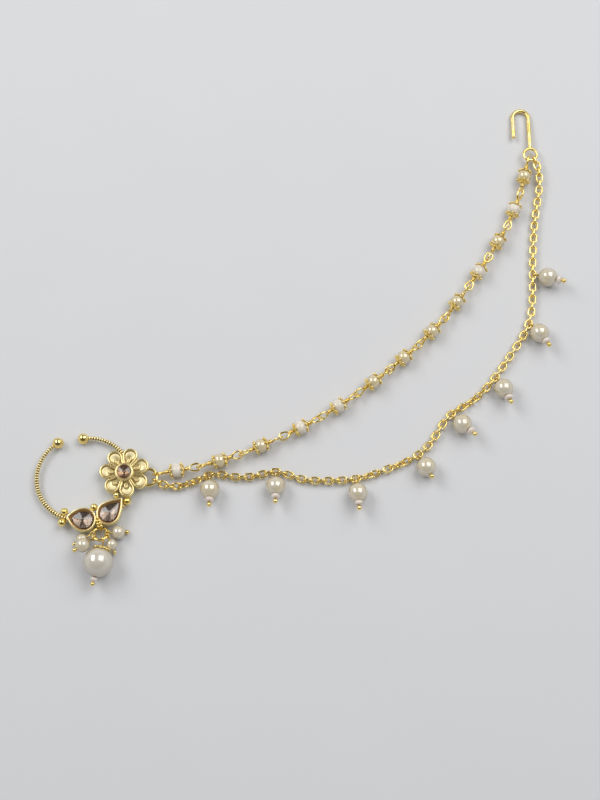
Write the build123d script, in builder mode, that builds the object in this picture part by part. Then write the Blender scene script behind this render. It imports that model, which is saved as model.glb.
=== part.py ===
"""A nath: an open hoop nose ring with a flower, two pear stones and a pearl cluster.

Two strands run from the ring to a hair hook, one of capped pearl beads and one of
cable chain with pearl drops. The nath lies flat on the plane z = 0. Millimetres.
"""

from build123d import *
import math
import os

os.makedirs("parts", exist_ok=True)

# ---- driving dimensions ------------------------------------------------------

HOOP_X, HOOP_Y = -52.874, -35.538     # hoop centre, from the middle of the object's box
GAP = 0.1                             # clearance kept between loose pieces
BEAD_PLAY = 0.15                      # play of a small bead between its pearl and the pin's ball

# hoop: two arcs of slightly different centre, joined behind the pear settings
HOOP_LEVEL = 1.35                   # height of the hoop's wire above the floor
HOOP_WIRES = {0.0: 0.95, 0.5: 1.2, 1.0: 0.95}    # wound wire's width by share of its length
BALL_END = 2.7
LEFT_ARC = dict(x=-1.01, y=0.19, radius=10.13, ball_angle=122, seat_angle=254)
RIGHT_ARC = dict(x=1.20, y=-0.50, radius=10.46, ball_angle=98.5, seat_angle=-28)

# flower
FLOWER_X, FLOWER_Y = 9.96, 1.32
FLOWER_REACH = 6.05
PETALS = 7
FIRST_PETAL_ANGLE = 22
PETAL_WIDTH = 3.6
PETAL_ROOT_WIDTH = 1.5
PETAL_ROOT_REACH = 1.7
PETAL_RIM = 0.36
PETAL_RIM_ROUNDING = 0.16
FLOWER_BACK = 1.45                  # height of the flower's underside
PETAL_FLOOR = 2.25
PETAL_RIM_TOP = 2.75
RIDGE_TOP = 2.6                     # the raised drop on each petal
RIDGE_LOBE = dict(from_petal_lobe=-0.35, radius=0.62)
RIDGE_POINT = dict(from_petal_root=0.8, radius=0.22)
RIDGE_WALL = 0.24
CUP_DIAMETER = 4.3
CUP_BORE = 3.3
CUP_TOP = 3.6
CUP_SEAT = 2.9

# pear settings; the heading points from the round end to the tip
PEARS = [
    dict(name="stone_left", x=0.72, y=-10.15, radius=2.95, reach=4.15, heading=171),
    dict(name="stone_right", x=6.48, y=-8.64, radius=2.85, reach=4.95, heading=49),
]
PEAR_SHOULDER = 68                  # where the round end turns into the sides, degrees
PEAR_BACK = 1.2
PEAR_TOP = 3.1
PEAR_SEAT = 2.15
PEAR_WALL = 0.42
PEAR_BORE_TAPER = 20                # slope of the bright inner wall, degrees
PEAR_TIP_SHARE = 1.8                # how much more the tip draws in than the sides

# granules soldered beside the settings
GRANULES = [
    dict(x=-4.08, y=-8.06, z=1.75, diameter=1.9),
    dict(x=-4.58, y=-10.66, z=1.75, diameter=2.0),
    dict(x=2.90, y=-7.03, z=2.00, diameter=1.85),
    dict(x=8.16, y=-4.10, z=1.90, diameter=1.6),
    dict(x=10.78, y=-5.52, z=1.80, diameter=1.95),
    dict(x=4.02, y=-9.85, z=3.00, diameter=0.95),
    dict(x=4.45, y=-10.95, z=1.90, diameter=1.20),
    dict(x=4.25, y=-10.80, z=2.90, diameter=1.05),
    dict(x=4.62, y=-11.60, z=2.85, diameter=0.90),
]

# rings on the soldered part
SIDE_RING = dict(x=15.75, y=0.31, z=1.75, diameter=4.56, wire=0.65)
BAIL = dict(x=4.75, y=-11.93, z=1.85, diameter=2.00, wire=0.46)

# stones
STONE_TABLE = 0.5                   # table size as a share of the girdle
ROUND_STONE = 3.0
ROUND_STONE_SIDES = 12
ROUND_STONE_CROWN = 0.75
PEAR_STONE_CROWN = 0.85
STONE_BASE = 0.35                   # depth below the girdle
STONE_BASE_SHARE = 0.7
PEAR_STONE_ROUND_SIDES = 7
PEAR_STONE_SIDE_CORNERS = (0.33, 0.66)

# pearl cluster under the pears; the jump ring leans, its far side on the pearls
CLUSTER_RING = dict(x=4.75, y=-13.55, z=2.75, diameter=4.2, wire=0.6, lean=30)
CLUSTER_DROPS = [
    dict(name="a", ring_angle=178, x=0.30, y=-14.75, z=1.55, pearl=3.0, seed=0),
    dict(name="b", ring_angle=222, x=0.95, y=-16.55, z=4.75, pearl=3.4, seed=0),
    dict(name="c", ring_angle=12, x=8.85, y=-13.00, z=1.60, pearl=3.2, seed=0),
    dict(name="d", ring_angle=-20, x=7.35, y=-15.95, z=1.90, pearl=2.8, seed=0),
    dict(name="large", ring_angle=-66, x=4.62, y=-20.35, z=3.53, pearl=7.05, seed=1.7),
]
CLUSTER_PIN_BALL = 1.05
CLUSTER_CAP_THICKNESS = 0.3
CLUSTER_CAP_ANGLE = 31              # how far the cap reaches down the large pearl
SEED_LENGTH = 0.9

# head pins, shared by the cluster and the chain's drops
PIN_WIRE = 0.36
PIN_EYE = 1.56
PIN_BORE = 0.62

# strand of capped beads; the rolls turn the two end loops about the strand
STRAND_LEVEL = 2.08
BEAD = 3.4
BEAD_BORE = 0.7
CAP_THICKNESS = 0.2
CAP_ANGLE = 58
CAP_RIM = 0.4
CAP_BORE = 0.7
STRAND_WIRE = 0.43
COLLAR = 1.1
COLLAR_START, COLLAR_END = 2.08, 2.95
LOOP_LENGTH, LOOP_WIDTH = 2.95, 2.3
LOOP_CENTRE = 4.38
SIDE_RING_STRAND_ANGLE = 22         # where the strand's first loop holds the side ring
HOOK_STRAND_ANGLE = 245             # where its last loop holds the hook's eye
STRAND_SLACK = 0.2                  # how far those loops ride above the rings
BEADS = [
    dict(x=22.40, y=1.75, roll_in=90, roll_out=5),
    dict(x=32.75, y=3.85, roll_in=92, roll_out=-25),
    dict(x=42.50, y=7.90, roll_in=55, roll_out=80),
    dict(x=52.15, y=12.15, roll_in=0, roll_out=35),
    dict(x=61.20, y=17.65, roll_in=-50, roll_out=45),
    dict(x=69.80, y=23.75, roll_in=-45, roll_out=65),
    dict(x=77.20, y=29.95, roll_in=-30, roll_out=35),
    dict(x=84.50, y=36.50, roll_in=-50, roll_out=15),
    dict(x=90.72, y=44.22, roll_in=-65, roll_out=90),
    dict(x=96.23, y=52.28, roll_in=0, roll_out=0),
    dict(x=101.40, y=60.15, roll_in=90, roll_out=90),
    dict(x=106.00, y=68.50, roll_in=0, roll_out=-45),
    dict(x=108.60, y=77.75, roll_in=45, roll_out=90),
]

# cable chain: its route on the floor, link by link
LINK_LENGTH, LINK_WIDTH, LINK_WIRE = 2.69, 2.0, 0.45
LINK_PITCH = 1.63
FLOOR_GAP = 0.02                    # keeps tilted links off the floor
CHAIN_ROUTE = [
    (17.75, -0.75), (20.2, -1.7), (23.6, -1.65), (27.7, -0.1), (30.9, 1.1), (36.0, 0.55),
    (42.7, 1.15), (46.0, 1.75), (51.0, 0.35), (58.8, -0.4), (65.0, 0.05), (73.0, 2.5),
    (81.2, 6.7), (84.8, 11.0), (88.0, 15.6), (93.0, 18.9), (99.4, 25.3), (104.0, 31.8),
    (108.4, 39.8), (109.4, 46.0), (109.7, 52.6), (110.3, 61.7), (111.2, 68.5),
    (112.2, 74.5), (112.3, 79.0), (111.33, 82.28),
]
RING_END_RISE = 0.7                 # how far the first link is lifted to the side ring
HOOK_END_RISE = 0.8                 # how far the last link is lifted to the hair hook
CLIMB_LINKS = 8                     # links over which the chain climbs at each end
START_TWIST, END_TWIST = 90, 270

# drops on the chain: the link that carries each, its heading, and the chain's twist there
DROPS = [
    dict(link=8, heading=-87, twist=0, spacer=True),
    dict(link=18, heading=-90, twist=0, spacer=True),
    dict(link=30, heading=-85, twist=0, spacer=True),
    dict(link=40, heading=-63, twist=180, spacer=False),
    dict(link=48, heading=-46, twist=180, spacer=True),
    dict(link=57, heading=-65, twist=270, spacer=True),
    dict(link=67, heading=-55, twist=270, spacer=True),
    dict(link=75, heading=-20, twist=270, spacer=True),
]
DROP_PEARL = 4.7
DROP_BALL = 1.2
SPACER, SPACER_LENGTH = 2.1, 1.1
SPACER_ROUNDING = 0.42              # edge rounding as a share of a small bead's length
DROP_REACH = 3.25                   # from the carrying wire to the pearl's centre

# hair hook
HOOK_EYE = dict(x=110.32, y=83.93, z=1.75, diameter=4.0, wire=0.7)
HOOK_LEAN = 5.2                     # the eye rides on the strands, the bend on the floor
HOOK_WIRE = 1.0
HOOK_SHANK = 9.0
HOOK_BEND_RADIUS = 2.0
HOOK_POINT = 5.5

UP = Vector(0, 0, 1)


# ---- placing -----------------------------------------------------------------

def spot(x, y, z):
    """A point given from the hoop's centre, in the object's frame."""
    return Vector(HOOP_X + x, HOOP_Y + y, z)


def leaning(place, lean):
    """The plane of a piece that leans about the X axis, +Y going down for a positive lean."""
    turn = math.radians(lean)
    return Plane(
        origin=spot(place["x"], place["y"], place["z"]),
        x_dir=(1, 0, 0),
        z_dir=(0, math.sin(turn), math.cos(turn)),
    )


def on_ring(ring, plane, angle, rise=0.0):
    """The point of a ring's wire at an angle in degrees, lifted by rise off its plane."""
    radius = (ring["diameter"] - ring["wire"]) / 2
    turn = math.radians(angle)
    return plane.from_local_coords(Vector(radius * math.cos(turn), radius * math.sin(turn), rise))


def along(origin, direction, roll=0.0):
    """A plane at origin whose X axis runs along direction, rolled about it in degrees."""
    side = UP.cross(direction).normalized()
    level = direction.cross(side).normalized()
    turn = math.radians(roll)
    normal = level * math.cos(turn) + side * math.sin(turn)
    return Plane(origin=origin, x_dir=direction, z_dir=normal)


def across(origin, direction):
    """A plane at origin that direction crosses at a right angle."""
    return Plane(origin=origin, z_dir=direction)


# ---- repeated shapes ---------------------------------------------------------

def oval_ring(length, width, wire):
    """A closed oval of round wire lying in the XY plane, its length along X."""
    end_radius = (width - wire) / 2
    half_straight = (length - width) / 2
    with BuildPart() as ring:
        with BuildLine() as centre_line:
            Line((-half_straight, end_radius), (half_straight, end_radius))
            CenterArc((half_straight, 0), end_radius, 90, -180)
            Line((half_straight, -end_radius), (-half_straight, -end_radius))
            CenterArc((-half_straight, 0), end_radius, -90, -180)
        with BuildSketch(Plane(origin=(0, end_radius, 0), x_dir=(0, 1, 0), z_dir=(1, 0, 0))):
            Circle(wire / 2)
        sweep(path=centre_line.wires()[0])
    return ring.part


def drilled_ball(centre, axis, diameter, bore):
    """A ball drilled along an axis."""
    with BuildPart() as ball:
        with Locations(across(centre, axis)):
            Sphere(diameter / 2)
            Cylinder(bore / 2, diameter, mode=Mode.SUBTRACT)
    return ball.part


def drilled_disc(centre, axis, diameter, length, bore):
    """A small rounded spacer bead drilled along an axis."""
    with BuildPart() as disc:
        with Locations(across(centre, axis)):
            Cylinder(diameter / 2, length)
        fillet(disc.edges(), length * SPACER_ROUNDING)
        with Locations(across(centre, axis)):
            Cylinder(bore / 2, length * 2, mode=Mode.SUBTRACT)
    return disc.part


def dome_cap(ball, bore, thickness, angle, rim):
    """A bead cap about the X axis: a dome over a ball at the origin, with a rolled rim."""
    inner = ball / 2 + GAP
    outer = inner + thickness
    start = math.degrees(math.asin(bore / 2 / inner))
    rim_radius = inner + rim / 2
    turn = math.radians(angle)
    with BuildPart() as cap:
        with BuildSketch():
            with BuildLine():
                lower = CenterArc((0, 0), inner, start, angle - start)
                upper = CenterArc((0, 0), outer, start, angle - start)
                Line(lower @ 0, upper @ 0)
                Line(lower @ 1, upper @ 1)
            make_face()
            with Locations((rim_radius * math.cos(turn), rim_radius * math.sin(turn))):
                Circle(rim / 2)
        revolve(axis=Axis.X)
    return cap.part


def hung_pin(hang, wire_direction, pearl, ball_distance, ball):
    """A head pin: an eye round a wire, a shank through a pearl and a ball at its end."""
    eye_radius = (PIN_EYE - PIN_WIRE) / 2
    to_pearl = pearl - hang
    in_eye = (to_pearl - wire_direction * to_pearl.dot(wire_direction)).normalized()
    root = hang + in_eye * eye_radius
    axis = (pearl - root).normalized()
    length = (pearl - root).length + ball_distance
    with BuildPart() as pin:
        with Locations(across(hang, wire_direction)):
            Torus(eye_radius, PIN_WIRE / 2)
        with Locations(across(root, axis)):
            Cylinder(PIN_WIRE / 2, length, align=(Align.CENTER, Align.CENTER, Align.MIN))
        with Locations(pearl + axis * ball_distance):
            Sphere(ball / 2)
    return pin.part, axis


def save(part, name):
    """Label a finished piece and write it."""
    part.label = name
    export_step(part, f"parts/{name}.step")


# ---- pear outlines -----------------------------------------------------------

def pear_lines(radius, reach):
    """The three arcs of a pear: a round end about the origin and two sides to a tip on +X."""
    round_end = CenterArc((0, 0), radius, PEAR_SHOULDER, 360 - 2 * PEAR_SHOULDER)
    lower_side = TangentArc(round_end @ 1, (reach, 0), tangent=round_end % 1)
    upper_side = TangentArc(round_end @ 0, (reach, 0), tangent=(round_end % 0) * -1)
    return round_end, lower_side, upper_side


def pear_face(radius, reach, inset=0.0):
    """A filled pear outline, drawn in by an inset."""
    with BuildSketch(mode=Mode.PRIVATE) as face:
        with BuildLine():
            pear_lines(radius, reach)
        make_face()
        if inset:
            offset(amount=-inset, kind=Kind.INTERSECTION)
    return face.sketch


def cut_stone(corners, crown, base_share):
    """A faceted stone on the XY plane's girdle: table above, tapered base below."""
    levels = [(-STONE_BASE, base_share), (0.0, 1.0), (crown, STONE_TABLE)]
    with BuildPart() as stone:
        for level, share in levels:
            with BuildSketch(Plane.XY.offset(level)):
                with BuildLine():
                    Polyline(*[(x * share, y * share) for x, y in corners], close=True)
                make_face()
        loft(ruled=True)
    return stone.part


def pear_plane(pear, level):
    """The plane of a pear setting at a height, X towards its tip."""
    turn = math.radians(pear["heading"])
    return Plane(
        origin=spot(pear["x"], pear["y"], level),
        x_dir=(math.cos(turn), math.sin(turn), 0),
        z_dir=(0, 0, 1),
    )


# ---- the soldered nose ring --------------------------------------------------

flower_centre = spot(FLOWER_X, FLOWER_Y, 0)
lobe_reach = FLOWER_REACH - PETAL_WIDTH / 2


def petal_face(width, root_width, inset=0.0):
    """One petal along +X: a round lobe narrowing to its root."""
    with BuildSketch(mode=Mode.PRIVATE) as face:
        with Locations((lobe_reach, 0)):
            Circle(width / 2)
        with Locations((PETAL_ROOT_REACH, 0)):
            Circle(root_width / 2)
        make_hull()
        if inset:
            offset(amount=-inset)
    return face.sketch


with BuildPart() as petal:
    with BuildSketch(Plane.XY.offset(FLOWER_BACK)):
        add(petal_face(PETAL_WIDTH, PETAL_ROOT_WIDTH))
    extrude(amount=PETAL_RIM_TOP - FLOWER_BACK)
    fillet(petal.faces().sort_by(Axis.Z)[-1].edges(), PETAL_RIM_ROUNDING)
    with BuildSketch(Plane.XY.offset(PETAL_FLOOR)):
        add(petal_face(PETAL_WIDTH, PETAL_ROOT_WIDTH, inset=PETAL_RIM))
    extrude(amount=PETAL_RIM_TOP - PETAL_FLOOR, mode=Mode.SUBTRACT)
    with BuildSketch(Plane.XY.offset(PETAL_FLOOR)):
        with Locations((lobe_reach + RIDGE_LOBE["from_petal_lobe"], 0)):
            Circle(RIDGE_LOBE["radius"])
        with Locations((PETAL_ROOT_REACH + RIDGE_POINT["from_petal_root"], 0)):
            Circle(RIDGE_POINT["radius"])
        make_hull()
        offset(amount=-RIDGE_WALL, mode=Mode.SUBTRACT)
    extrude(amount=RIDGE_TOP - PETAL_FLOOR)

with BuildPart() as nose_ring:
    # hoop: left arc, the hidden stretch behind the settings, right arc
    with BuildLine() as hoop_line:
        left_arc = CenterArc(
            spot(LEFT_ARC["x"], LEFT_ARC["y"], HOOP_LEVEL), LEFT_ARC["radius"],
            LEFT_ARC["ball_angle"], LEFT_ARC["seat_angle"] - LEFT_ARC["ball_angle"],
        )
        right_arc = CenterArc(
            spot(RIGHT_ARC["x"], RIGHT_ARC["y"], HOOP_LEVEL), RIGHT_ARC["radius"],
            RIGHT_ARC["seat_angle"], RIGHT_ARC["ball_angle"] - RIGHT_ARC["seat_angle"],
        )
        Spline(left_arc @ 1, right_arc @ 0, tangents=(left_arc % 1, right_arc % 0))
    hoop_path = hoop_line.wires()[0]
    for share, wire in HOOP_WIRES.items():
        with BuildSketch(across(hoop_path @ share, hoop_path % share)):
            Circle(wire / 2)
    sweep(path=hoop_path, multisection=True)
    with Locations(left_arc @ 0, right_arc @ 1):
        Sphere(BALL_END / 2)

    # flower
    with Locations(Location(flower_centre)):
        with PolarLocations(0, PETALS, start_angle=FIRST_PETAL_ANGLE):
            add(petal.part)
    with BuildSketch(Plane(origin=flower_centre + UP * FLOWER_BACK)):
        Circle(CUP_DIAMETER / 2)
    extrude(amount=CUP_TOP - FLOWER_BACK)
    with BuildSketch(Plane(origin=flower_centre + UP * CUP_SEAT)):
        Circle(CUP_BORE / 2)
    extrude(amount=CUP_TOP - CUP_SEAT, mode=Mode.SUBTRACT)

    # pear settings
    for pear in PEARS:
        with BuildSketch(pear_plane(pear, PEAR_BACK)):
            add(pear_face(pear["radius"], pear["reach"]))
        extrude(amount=PEAR_TOP - PEAR_BACK)
    for pear in PEARS:
        with BuildSketch(pear_plane(pear, PEAR_TOP)):
            add(pear_face(pear["radius"], pear["reach"], inset=PEAR_WALL))
        extrude(amount=-(PEAR_TOP - PEAR_SEAT), taper=PEAR_BORE_TAPER, mode=Mode.SUBTRACT)

    # granules, side ring and bail
    for granule in GRANULES:
        with Locations(spot(granule["x"], granule["y"], granule["z"])):
            Sphere(granule["diameter"] / 2)
    with Locations(spot(SIDE_RING["x"], SIDE_RING["y"], SIDE_RING["z"])):
        Torus((SIDE_RING["diameter"] - SIDE_RING["wire"]) / 2, SIDE_RING["wire"] / 2)
    with Locations(across(spot(BAIL["x"], BAIL["y"], BAIL["z"]), Vector(1, 0, 0))):
        Torus((BAIL["diameter"] - BAIL["wire"]) / 2, BAIL["wire"] / 2)
save(nose_ring.part, "nose_ring")


# ---- stones, each standing GAP clear in its setting ---------------------------

round_corners = [
    (
        ROUND_STONE / 2 * math.cos(2 * math.pi * side / ROUND_STONE_SIDES),
        ROUND_STONE / 2 * math.sin(2 * math.pi * side / ROUND_STONE_SIDES),
    )
    for side in range(ROUND_STONE_SIDES)
]
round_girdle = CUP_SEAT + GAP + STONE_BASE
stone_centre = cut_stone(round_corners, ROUND_STONE_CROWN, STONE_BASE_SHARE)
save(stone_centre.moved(Location(flower_centre + UP * round_girdle)), "stone_centre")

for pear in PEARS:
    pear_depth = PEAR_TOP - PEAR_SEAT
    inset = PEAR_WALL + pear_depth * math.tan(math.radians(PEAR_BORE_TAPER)) + GAP / 2
    with BuildLine():
        round_end, lower_side, upper_side = pear_lines(
            pear["radius"] - inset, pear["reach"] - PEAR_TIP_SHARE * inset
        )
    outline = [upper_side @ 1]
    outline += [upper_side @ share for share in reversed(PEAR_STONE_SIDE_CORNERS)]
    outline += [round_end @ (side / PEAR_STONE_ROUND_SIDES) for side in range(PEAR_STONE_ROUND_SIDES + 1)]
    outline += [lower_side @ share for share in PEAR_STONE_SIDE_CORNERS]
    stone = cut_stone([(corner.X, corner.Y) for corner in outline], PEAR_STONE_CROWN, STONE_BASE_SHARE)
    girdle = pear_plane(pear, PEAR_SEAT + GAP + STONE_BASE)
    save(stone.moved(girdle.location), pear["name"])

# ---- pearl cluster -----------------------------------------------------------

cluster_plane = leaning(CLUSTER_RING, CLUSTER_RING["lean"])
with BuildPart() as cluster_ring:
    with Locations(cluster_plane):
        Torus((CLUSTER_RING["diameter"] - CLUSTER_RING["wire"]) / 2, CLUSTER_RING["wire"] / 2)
save(cluster_ring.part, "cluster_ring")

cluster_pins = []
for drop in CLUSTER_DROPS:
    turn = math.radians(drop["ring_angle"])
    hang = on_ring(CLUSTER_RING, cluster_plane, drop["ring_angle"])
    ring_run = cluster_plane.x_dir * -math.sin(turn) + cluster_plane.y_dir * math.cos(turn)
    pearl = spot(drop["x"], drop["y"], drop["z"])
    seed_room = SEED_LENGTH + BEAD_PLAY if drop["seed"] else 0
    ball_distance = drop["pearl"] / 2 + seed_room + GAP + CLUSTER_PIN_BALL / 2
    pin, axis = hung_pin(hang, ring_run, pearl, ball_distance, CLUSTER_PIN_BALL)
    cluster_pins.append(pin)
    save(drilled_ball(pearl, axis, drop["pearl"], PIN_BORE), f"cluster_pearl_{drop['name']}")
    if drop["seed"]:
        seed_place = pearl + axis * (drop["pearl"] / 2 + GAP + SEED_LENGTH / 2)
        save(drilled_disc(seed_place, axis, drop["seed"], SEED_LENGTH, PIN_BORE), "cluster_seed")
        cap = dome_cap(
            drop["pearl"], PIN_BORE, CLUSTER_CAP_THICKNESS, CLUSTER_CAP_ANGLE, CLUSTER_CAP_THICKNESS
        )
        cap_plane = Plane(origin=pearl, x_dir=axis * -1, z_dir=axis.cross(UP))
        save(cap.moved(cap_plane.location), "cluster_cap")
save(Compound(children=cluster_pins), "cluster_pins")

# ---- strand of capped beads --------------------------------------------------

bead_spots = [spot(bead["x"], bead["y"], STRAND_LEVEL) for bead in BEADS]
hook_plane = leaning(HOOK_EYE, HOOK_LEAN)
side_ring_hold = on_ring(SIDE_RING, leaning(SIDE_RING, 0), SIDE_RING_STRAND_ANGLE, STRAND_SLACK)
hook_hold = on_ring(HOOK_EYE, hook_plane, HOOK_STRAND_ANGLE, STRAND_SLACK)
joints = [side_ring_hold]
joints += [(near + far) / 2 for near, far in zip(bead_spots, bead_spots[1:])]
joints += [hook_hold]

bead_cap = dome_cap(BEAD, CAP_BORE, CAP_THICKNESS, CAP_ANGLE, CAP_RIM)
wire_loop = oval_ring(LOOP_LENGTH, LOOP_WIDTH, STRAND_WIRE)
caps = []
wires = []
for number, (bead, centre, near, far) in enumerate(zip(BEADS, bead_spots, joints, joints[1:]), start=1):
    axis = (far - near).normalized()
    centre = near + axis * (centre - near).dot(axis)
    save(drilled_ball(centre, axis, BEAD, BEAD_BORE), f"strand_bead_{number:02d}")
    caps.append(bead_cap.moved(along(centre, axis).location))
    caps.append(bead_cap.moved(along(centre, axis * -1).location))
    with BuildPart() as wire:
        with Locations(across(centre, axis)):
            Cylinder(STRAND_WIRE / 2, 2 * COLLAR_END)
        for end, roll in ((-1, bead["roll_in"]), (1, bead["roll_out"])):
            with Locations(across(centre + axis * end * (COLLAR_START + COLLAR_END) / 2, axis)):
                Cylinder(COLLAR / 2, COLLAR_END - COLLAR_START)
            with Locations(along(centre + axis * end * LOOP_CENTRE, axis, roll)):
                add(wire_loop)
    wires.append(wire.part)
save(Compound(children=caps), "strand_caps")
save(Compound(children=wires), "strand_wires")

# ---- cable chain -------------------------------------------------------------

with BuildLine() as route_line:
    Spline(*[spot(x, y, 0) for x, y in CHAIN_ROUTE])
route = route_line.wires()[0]
link_count = round(route.length / LINK_PITCH) + 1
twist_links = [0] + [drop["link"] for drop in DROPS] + [link_count - 1]
twist_angles = [START_TWIST] + [drop["twist"] for drop in DROPS] + [END_TWIST]


def chain_roll(link):
    """How far a link is turned about the chain: a quarter turn each, and the chain's twist."""
    for first, last, low, high in zip(twist_links, twist_links[1:], twist_angles, twist_angles[1:]):
        if link <= last:
            return 90 * link + low + (high - low) * (link - first) / (last - first)
    raise ValueError(f"the chain has no link {link}")


def link_level(link):
    """The height at which a rolled link rests on the floor, or climbs to what holds the end."""
    roll = math.radians(chain_roll(link))
    half_width = (LINK_WIDTH - LINK_WIRE) / 2
    resting = LINK_WIRE / 2 + half_width * max(abs(math.sin(roll)), abs(math.cos(roll)))
    ring_climb = RING_END_RISE * max(0, 1 - link / CLIMB_LINKS)
    hook_climb = HOOK_END_RISE * max(0, 1 - (link_count - 1 - link) / CLIMB_LINKS)
    return resting + FLOOR_GAP + ring_climb + hook_climb


chain_link = oval_ring(LINK_LENGTH, LINK_WIDTH, LINK_WIRE)
link_spots = [
    (route @ (link / (link_count - 1))) + UP * link_level(link)
    for link in range(link_count)
]
link_planes = []
for link, centre in enumerate(link_spots):
    before = link_spots[max(link - 1, 0)]
    after = link_spots[min(link + 1, link_count - 1)]
    link_planes.append(along(centre, (after - before).normalized(), chain_roll(link)))
save(Compound(children=[chain_link.moved(plane.location) for plane in link_planes]), "chain_links")

# ---- pearl drops on the chain ------------------------------------------------

drop_pins = []
drop_spacers = []
for number, drop in enumerate(DROPS, start=1):
    carrier = link_planes[drop["link"]]
    turn = math.radians(drop["heading"])
    heading = Vector(math.cos(turn), math.sin(turn), 0)
    run = carrier.x_dir
    outward = (heading - run * heading.dot(run)).normalized()
    hang = carrier.origin + outward * (LINK_WIDTH - LINK_WIRE) / 2
    rise = DROP_PEARL / 2 - hang.Z
    pearl = hang + heading * math.sqrt(DROP_REACH ** 2 - rise ** 2) + UP * rise
    spacer_room = SPACER_LENGTH + BEAD_PLAY if drop["spacer"] else 0
    ball_distance = DROP_PEARL / 2 + spacer_room + GAP + DROP_BALL / 2
    pin, axis = hung_pin(hang, run, pearl, ball_distance, DROP_BALL)
    drop_pins.append(pin)
    save(drilled_ball(pearl, axis, DROP_PEARL, PIN_BORE), f"drop_pearl_{number}")
    if drop["spacer"]:
        spacer_place = pearl + axis * (DROP_PEARL / 2 + GAP + SPACER_LENGTH / 2)
        drop_spacers.append(drilled_disc(spacer_place, axis, SPACER, SPACER_LENGTH, PIN_BORE))
save(Compound(children=drop_pins), "drop_pins")
save(Compound(children=drop_spacers), "drop_spacers")

# ---- hair hook ---------------------------------------------------------------

with BuildPart() as hair_hook:
    with Locations(hook_plane):
        Torus((HOOK_EYE["diameter"] - HOOK_EYE["wire"]) / 2, HOOK_EYE["wire"] / 2)
    with BuildLine(hook_plane) as hook_line:
        foot = (HOOK_EYE["diameter"] - HOOK_EYE["wire"]) / 2
        Line((0, foot), (0, foot + HOOK_SHANK))
        CenterArc((-HOOK_BEND_RADIUS, foot + HOOK_SHANK), HOOK_BEND_RADIUS, 0, 180)
        Line(
            (-2 * HOOK_BEND_RADIUS, foot + HOOK_SHANK),
            (-2 * HOOK_BEND_RADIUS, foot + HOOK_SHANK - HOOK_POINT),
        )
    hook_path = hook_line.wires()[0]
    with BuildSketch(Plane(origin=hook_path @ 0, z_dir=hook_path % 0)):
        Circle(HOOK_WIRE / 2)
    sweep(path=hook_path)
    with Locations(hook_path @ 1):
        Sphere(HOOK_WIRE / 2)
save(hair_hook.part, "hair_hook")
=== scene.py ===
"""Dresses the nath: wound hoop, flower, stones, pearls, beaded strand, chain and hook.

Laid out as a Blender add-on and run as a script. All lengths are metres in the
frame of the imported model, so each piece is made where its solid lies.
"""

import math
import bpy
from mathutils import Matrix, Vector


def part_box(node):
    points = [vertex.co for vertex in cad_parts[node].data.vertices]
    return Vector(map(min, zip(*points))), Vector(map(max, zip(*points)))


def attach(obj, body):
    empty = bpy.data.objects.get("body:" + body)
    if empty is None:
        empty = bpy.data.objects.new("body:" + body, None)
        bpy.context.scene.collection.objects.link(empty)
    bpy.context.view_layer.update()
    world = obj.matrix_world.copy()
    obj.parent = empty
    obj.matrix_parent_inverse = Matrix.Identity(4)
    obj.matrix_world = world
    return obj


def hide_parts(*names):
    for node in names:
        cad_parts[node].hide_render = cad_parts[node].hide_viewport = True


bl_info = {
    "name": "Nath maker",
    "version": (1, 0, 0),
    "blender": (4, 5, 0),
    "location": "3D View > Sidebar > Nath",
    "description": "Makes a nath nose ring with a beaded strand and a chain, and its stage",
    "category": "Add Mesh",
}

import bmesh
import bpy
import numpy as np
from bpy.props import (
    FloatProperty,
    FloatVectorProperty,
    IntProperty,
    PointerProperty,
)
from mathutils import Matrix, Vector

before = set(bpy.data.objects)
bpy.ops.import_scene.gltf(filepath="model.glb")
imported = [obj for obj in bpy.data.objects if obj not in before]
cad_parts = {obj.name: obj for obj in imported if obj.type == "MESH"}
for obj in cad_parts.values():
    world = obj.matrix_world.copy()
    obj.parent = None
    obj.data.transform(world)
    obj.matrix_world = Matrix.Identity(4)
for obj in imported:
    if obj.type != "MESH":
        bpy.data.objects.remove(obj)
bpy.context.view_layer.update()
MM = 0.001
UP = Vector((0, 0, 1))

# the soldered ring's right and upper edges fix the hoop's centre
RING_RIGHT, RING_TOP = 18.03, 11.195
RING_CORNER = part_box("nose_ring")[1]
HOOP = Vector((RING_CORNER.x - RING_RIGHT * MM, RING_CORNER.y - RING_TOP * MM, 0))


# ---- where things lie on the soldered ring, in millimetres from the hoop's centre ----

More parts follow.
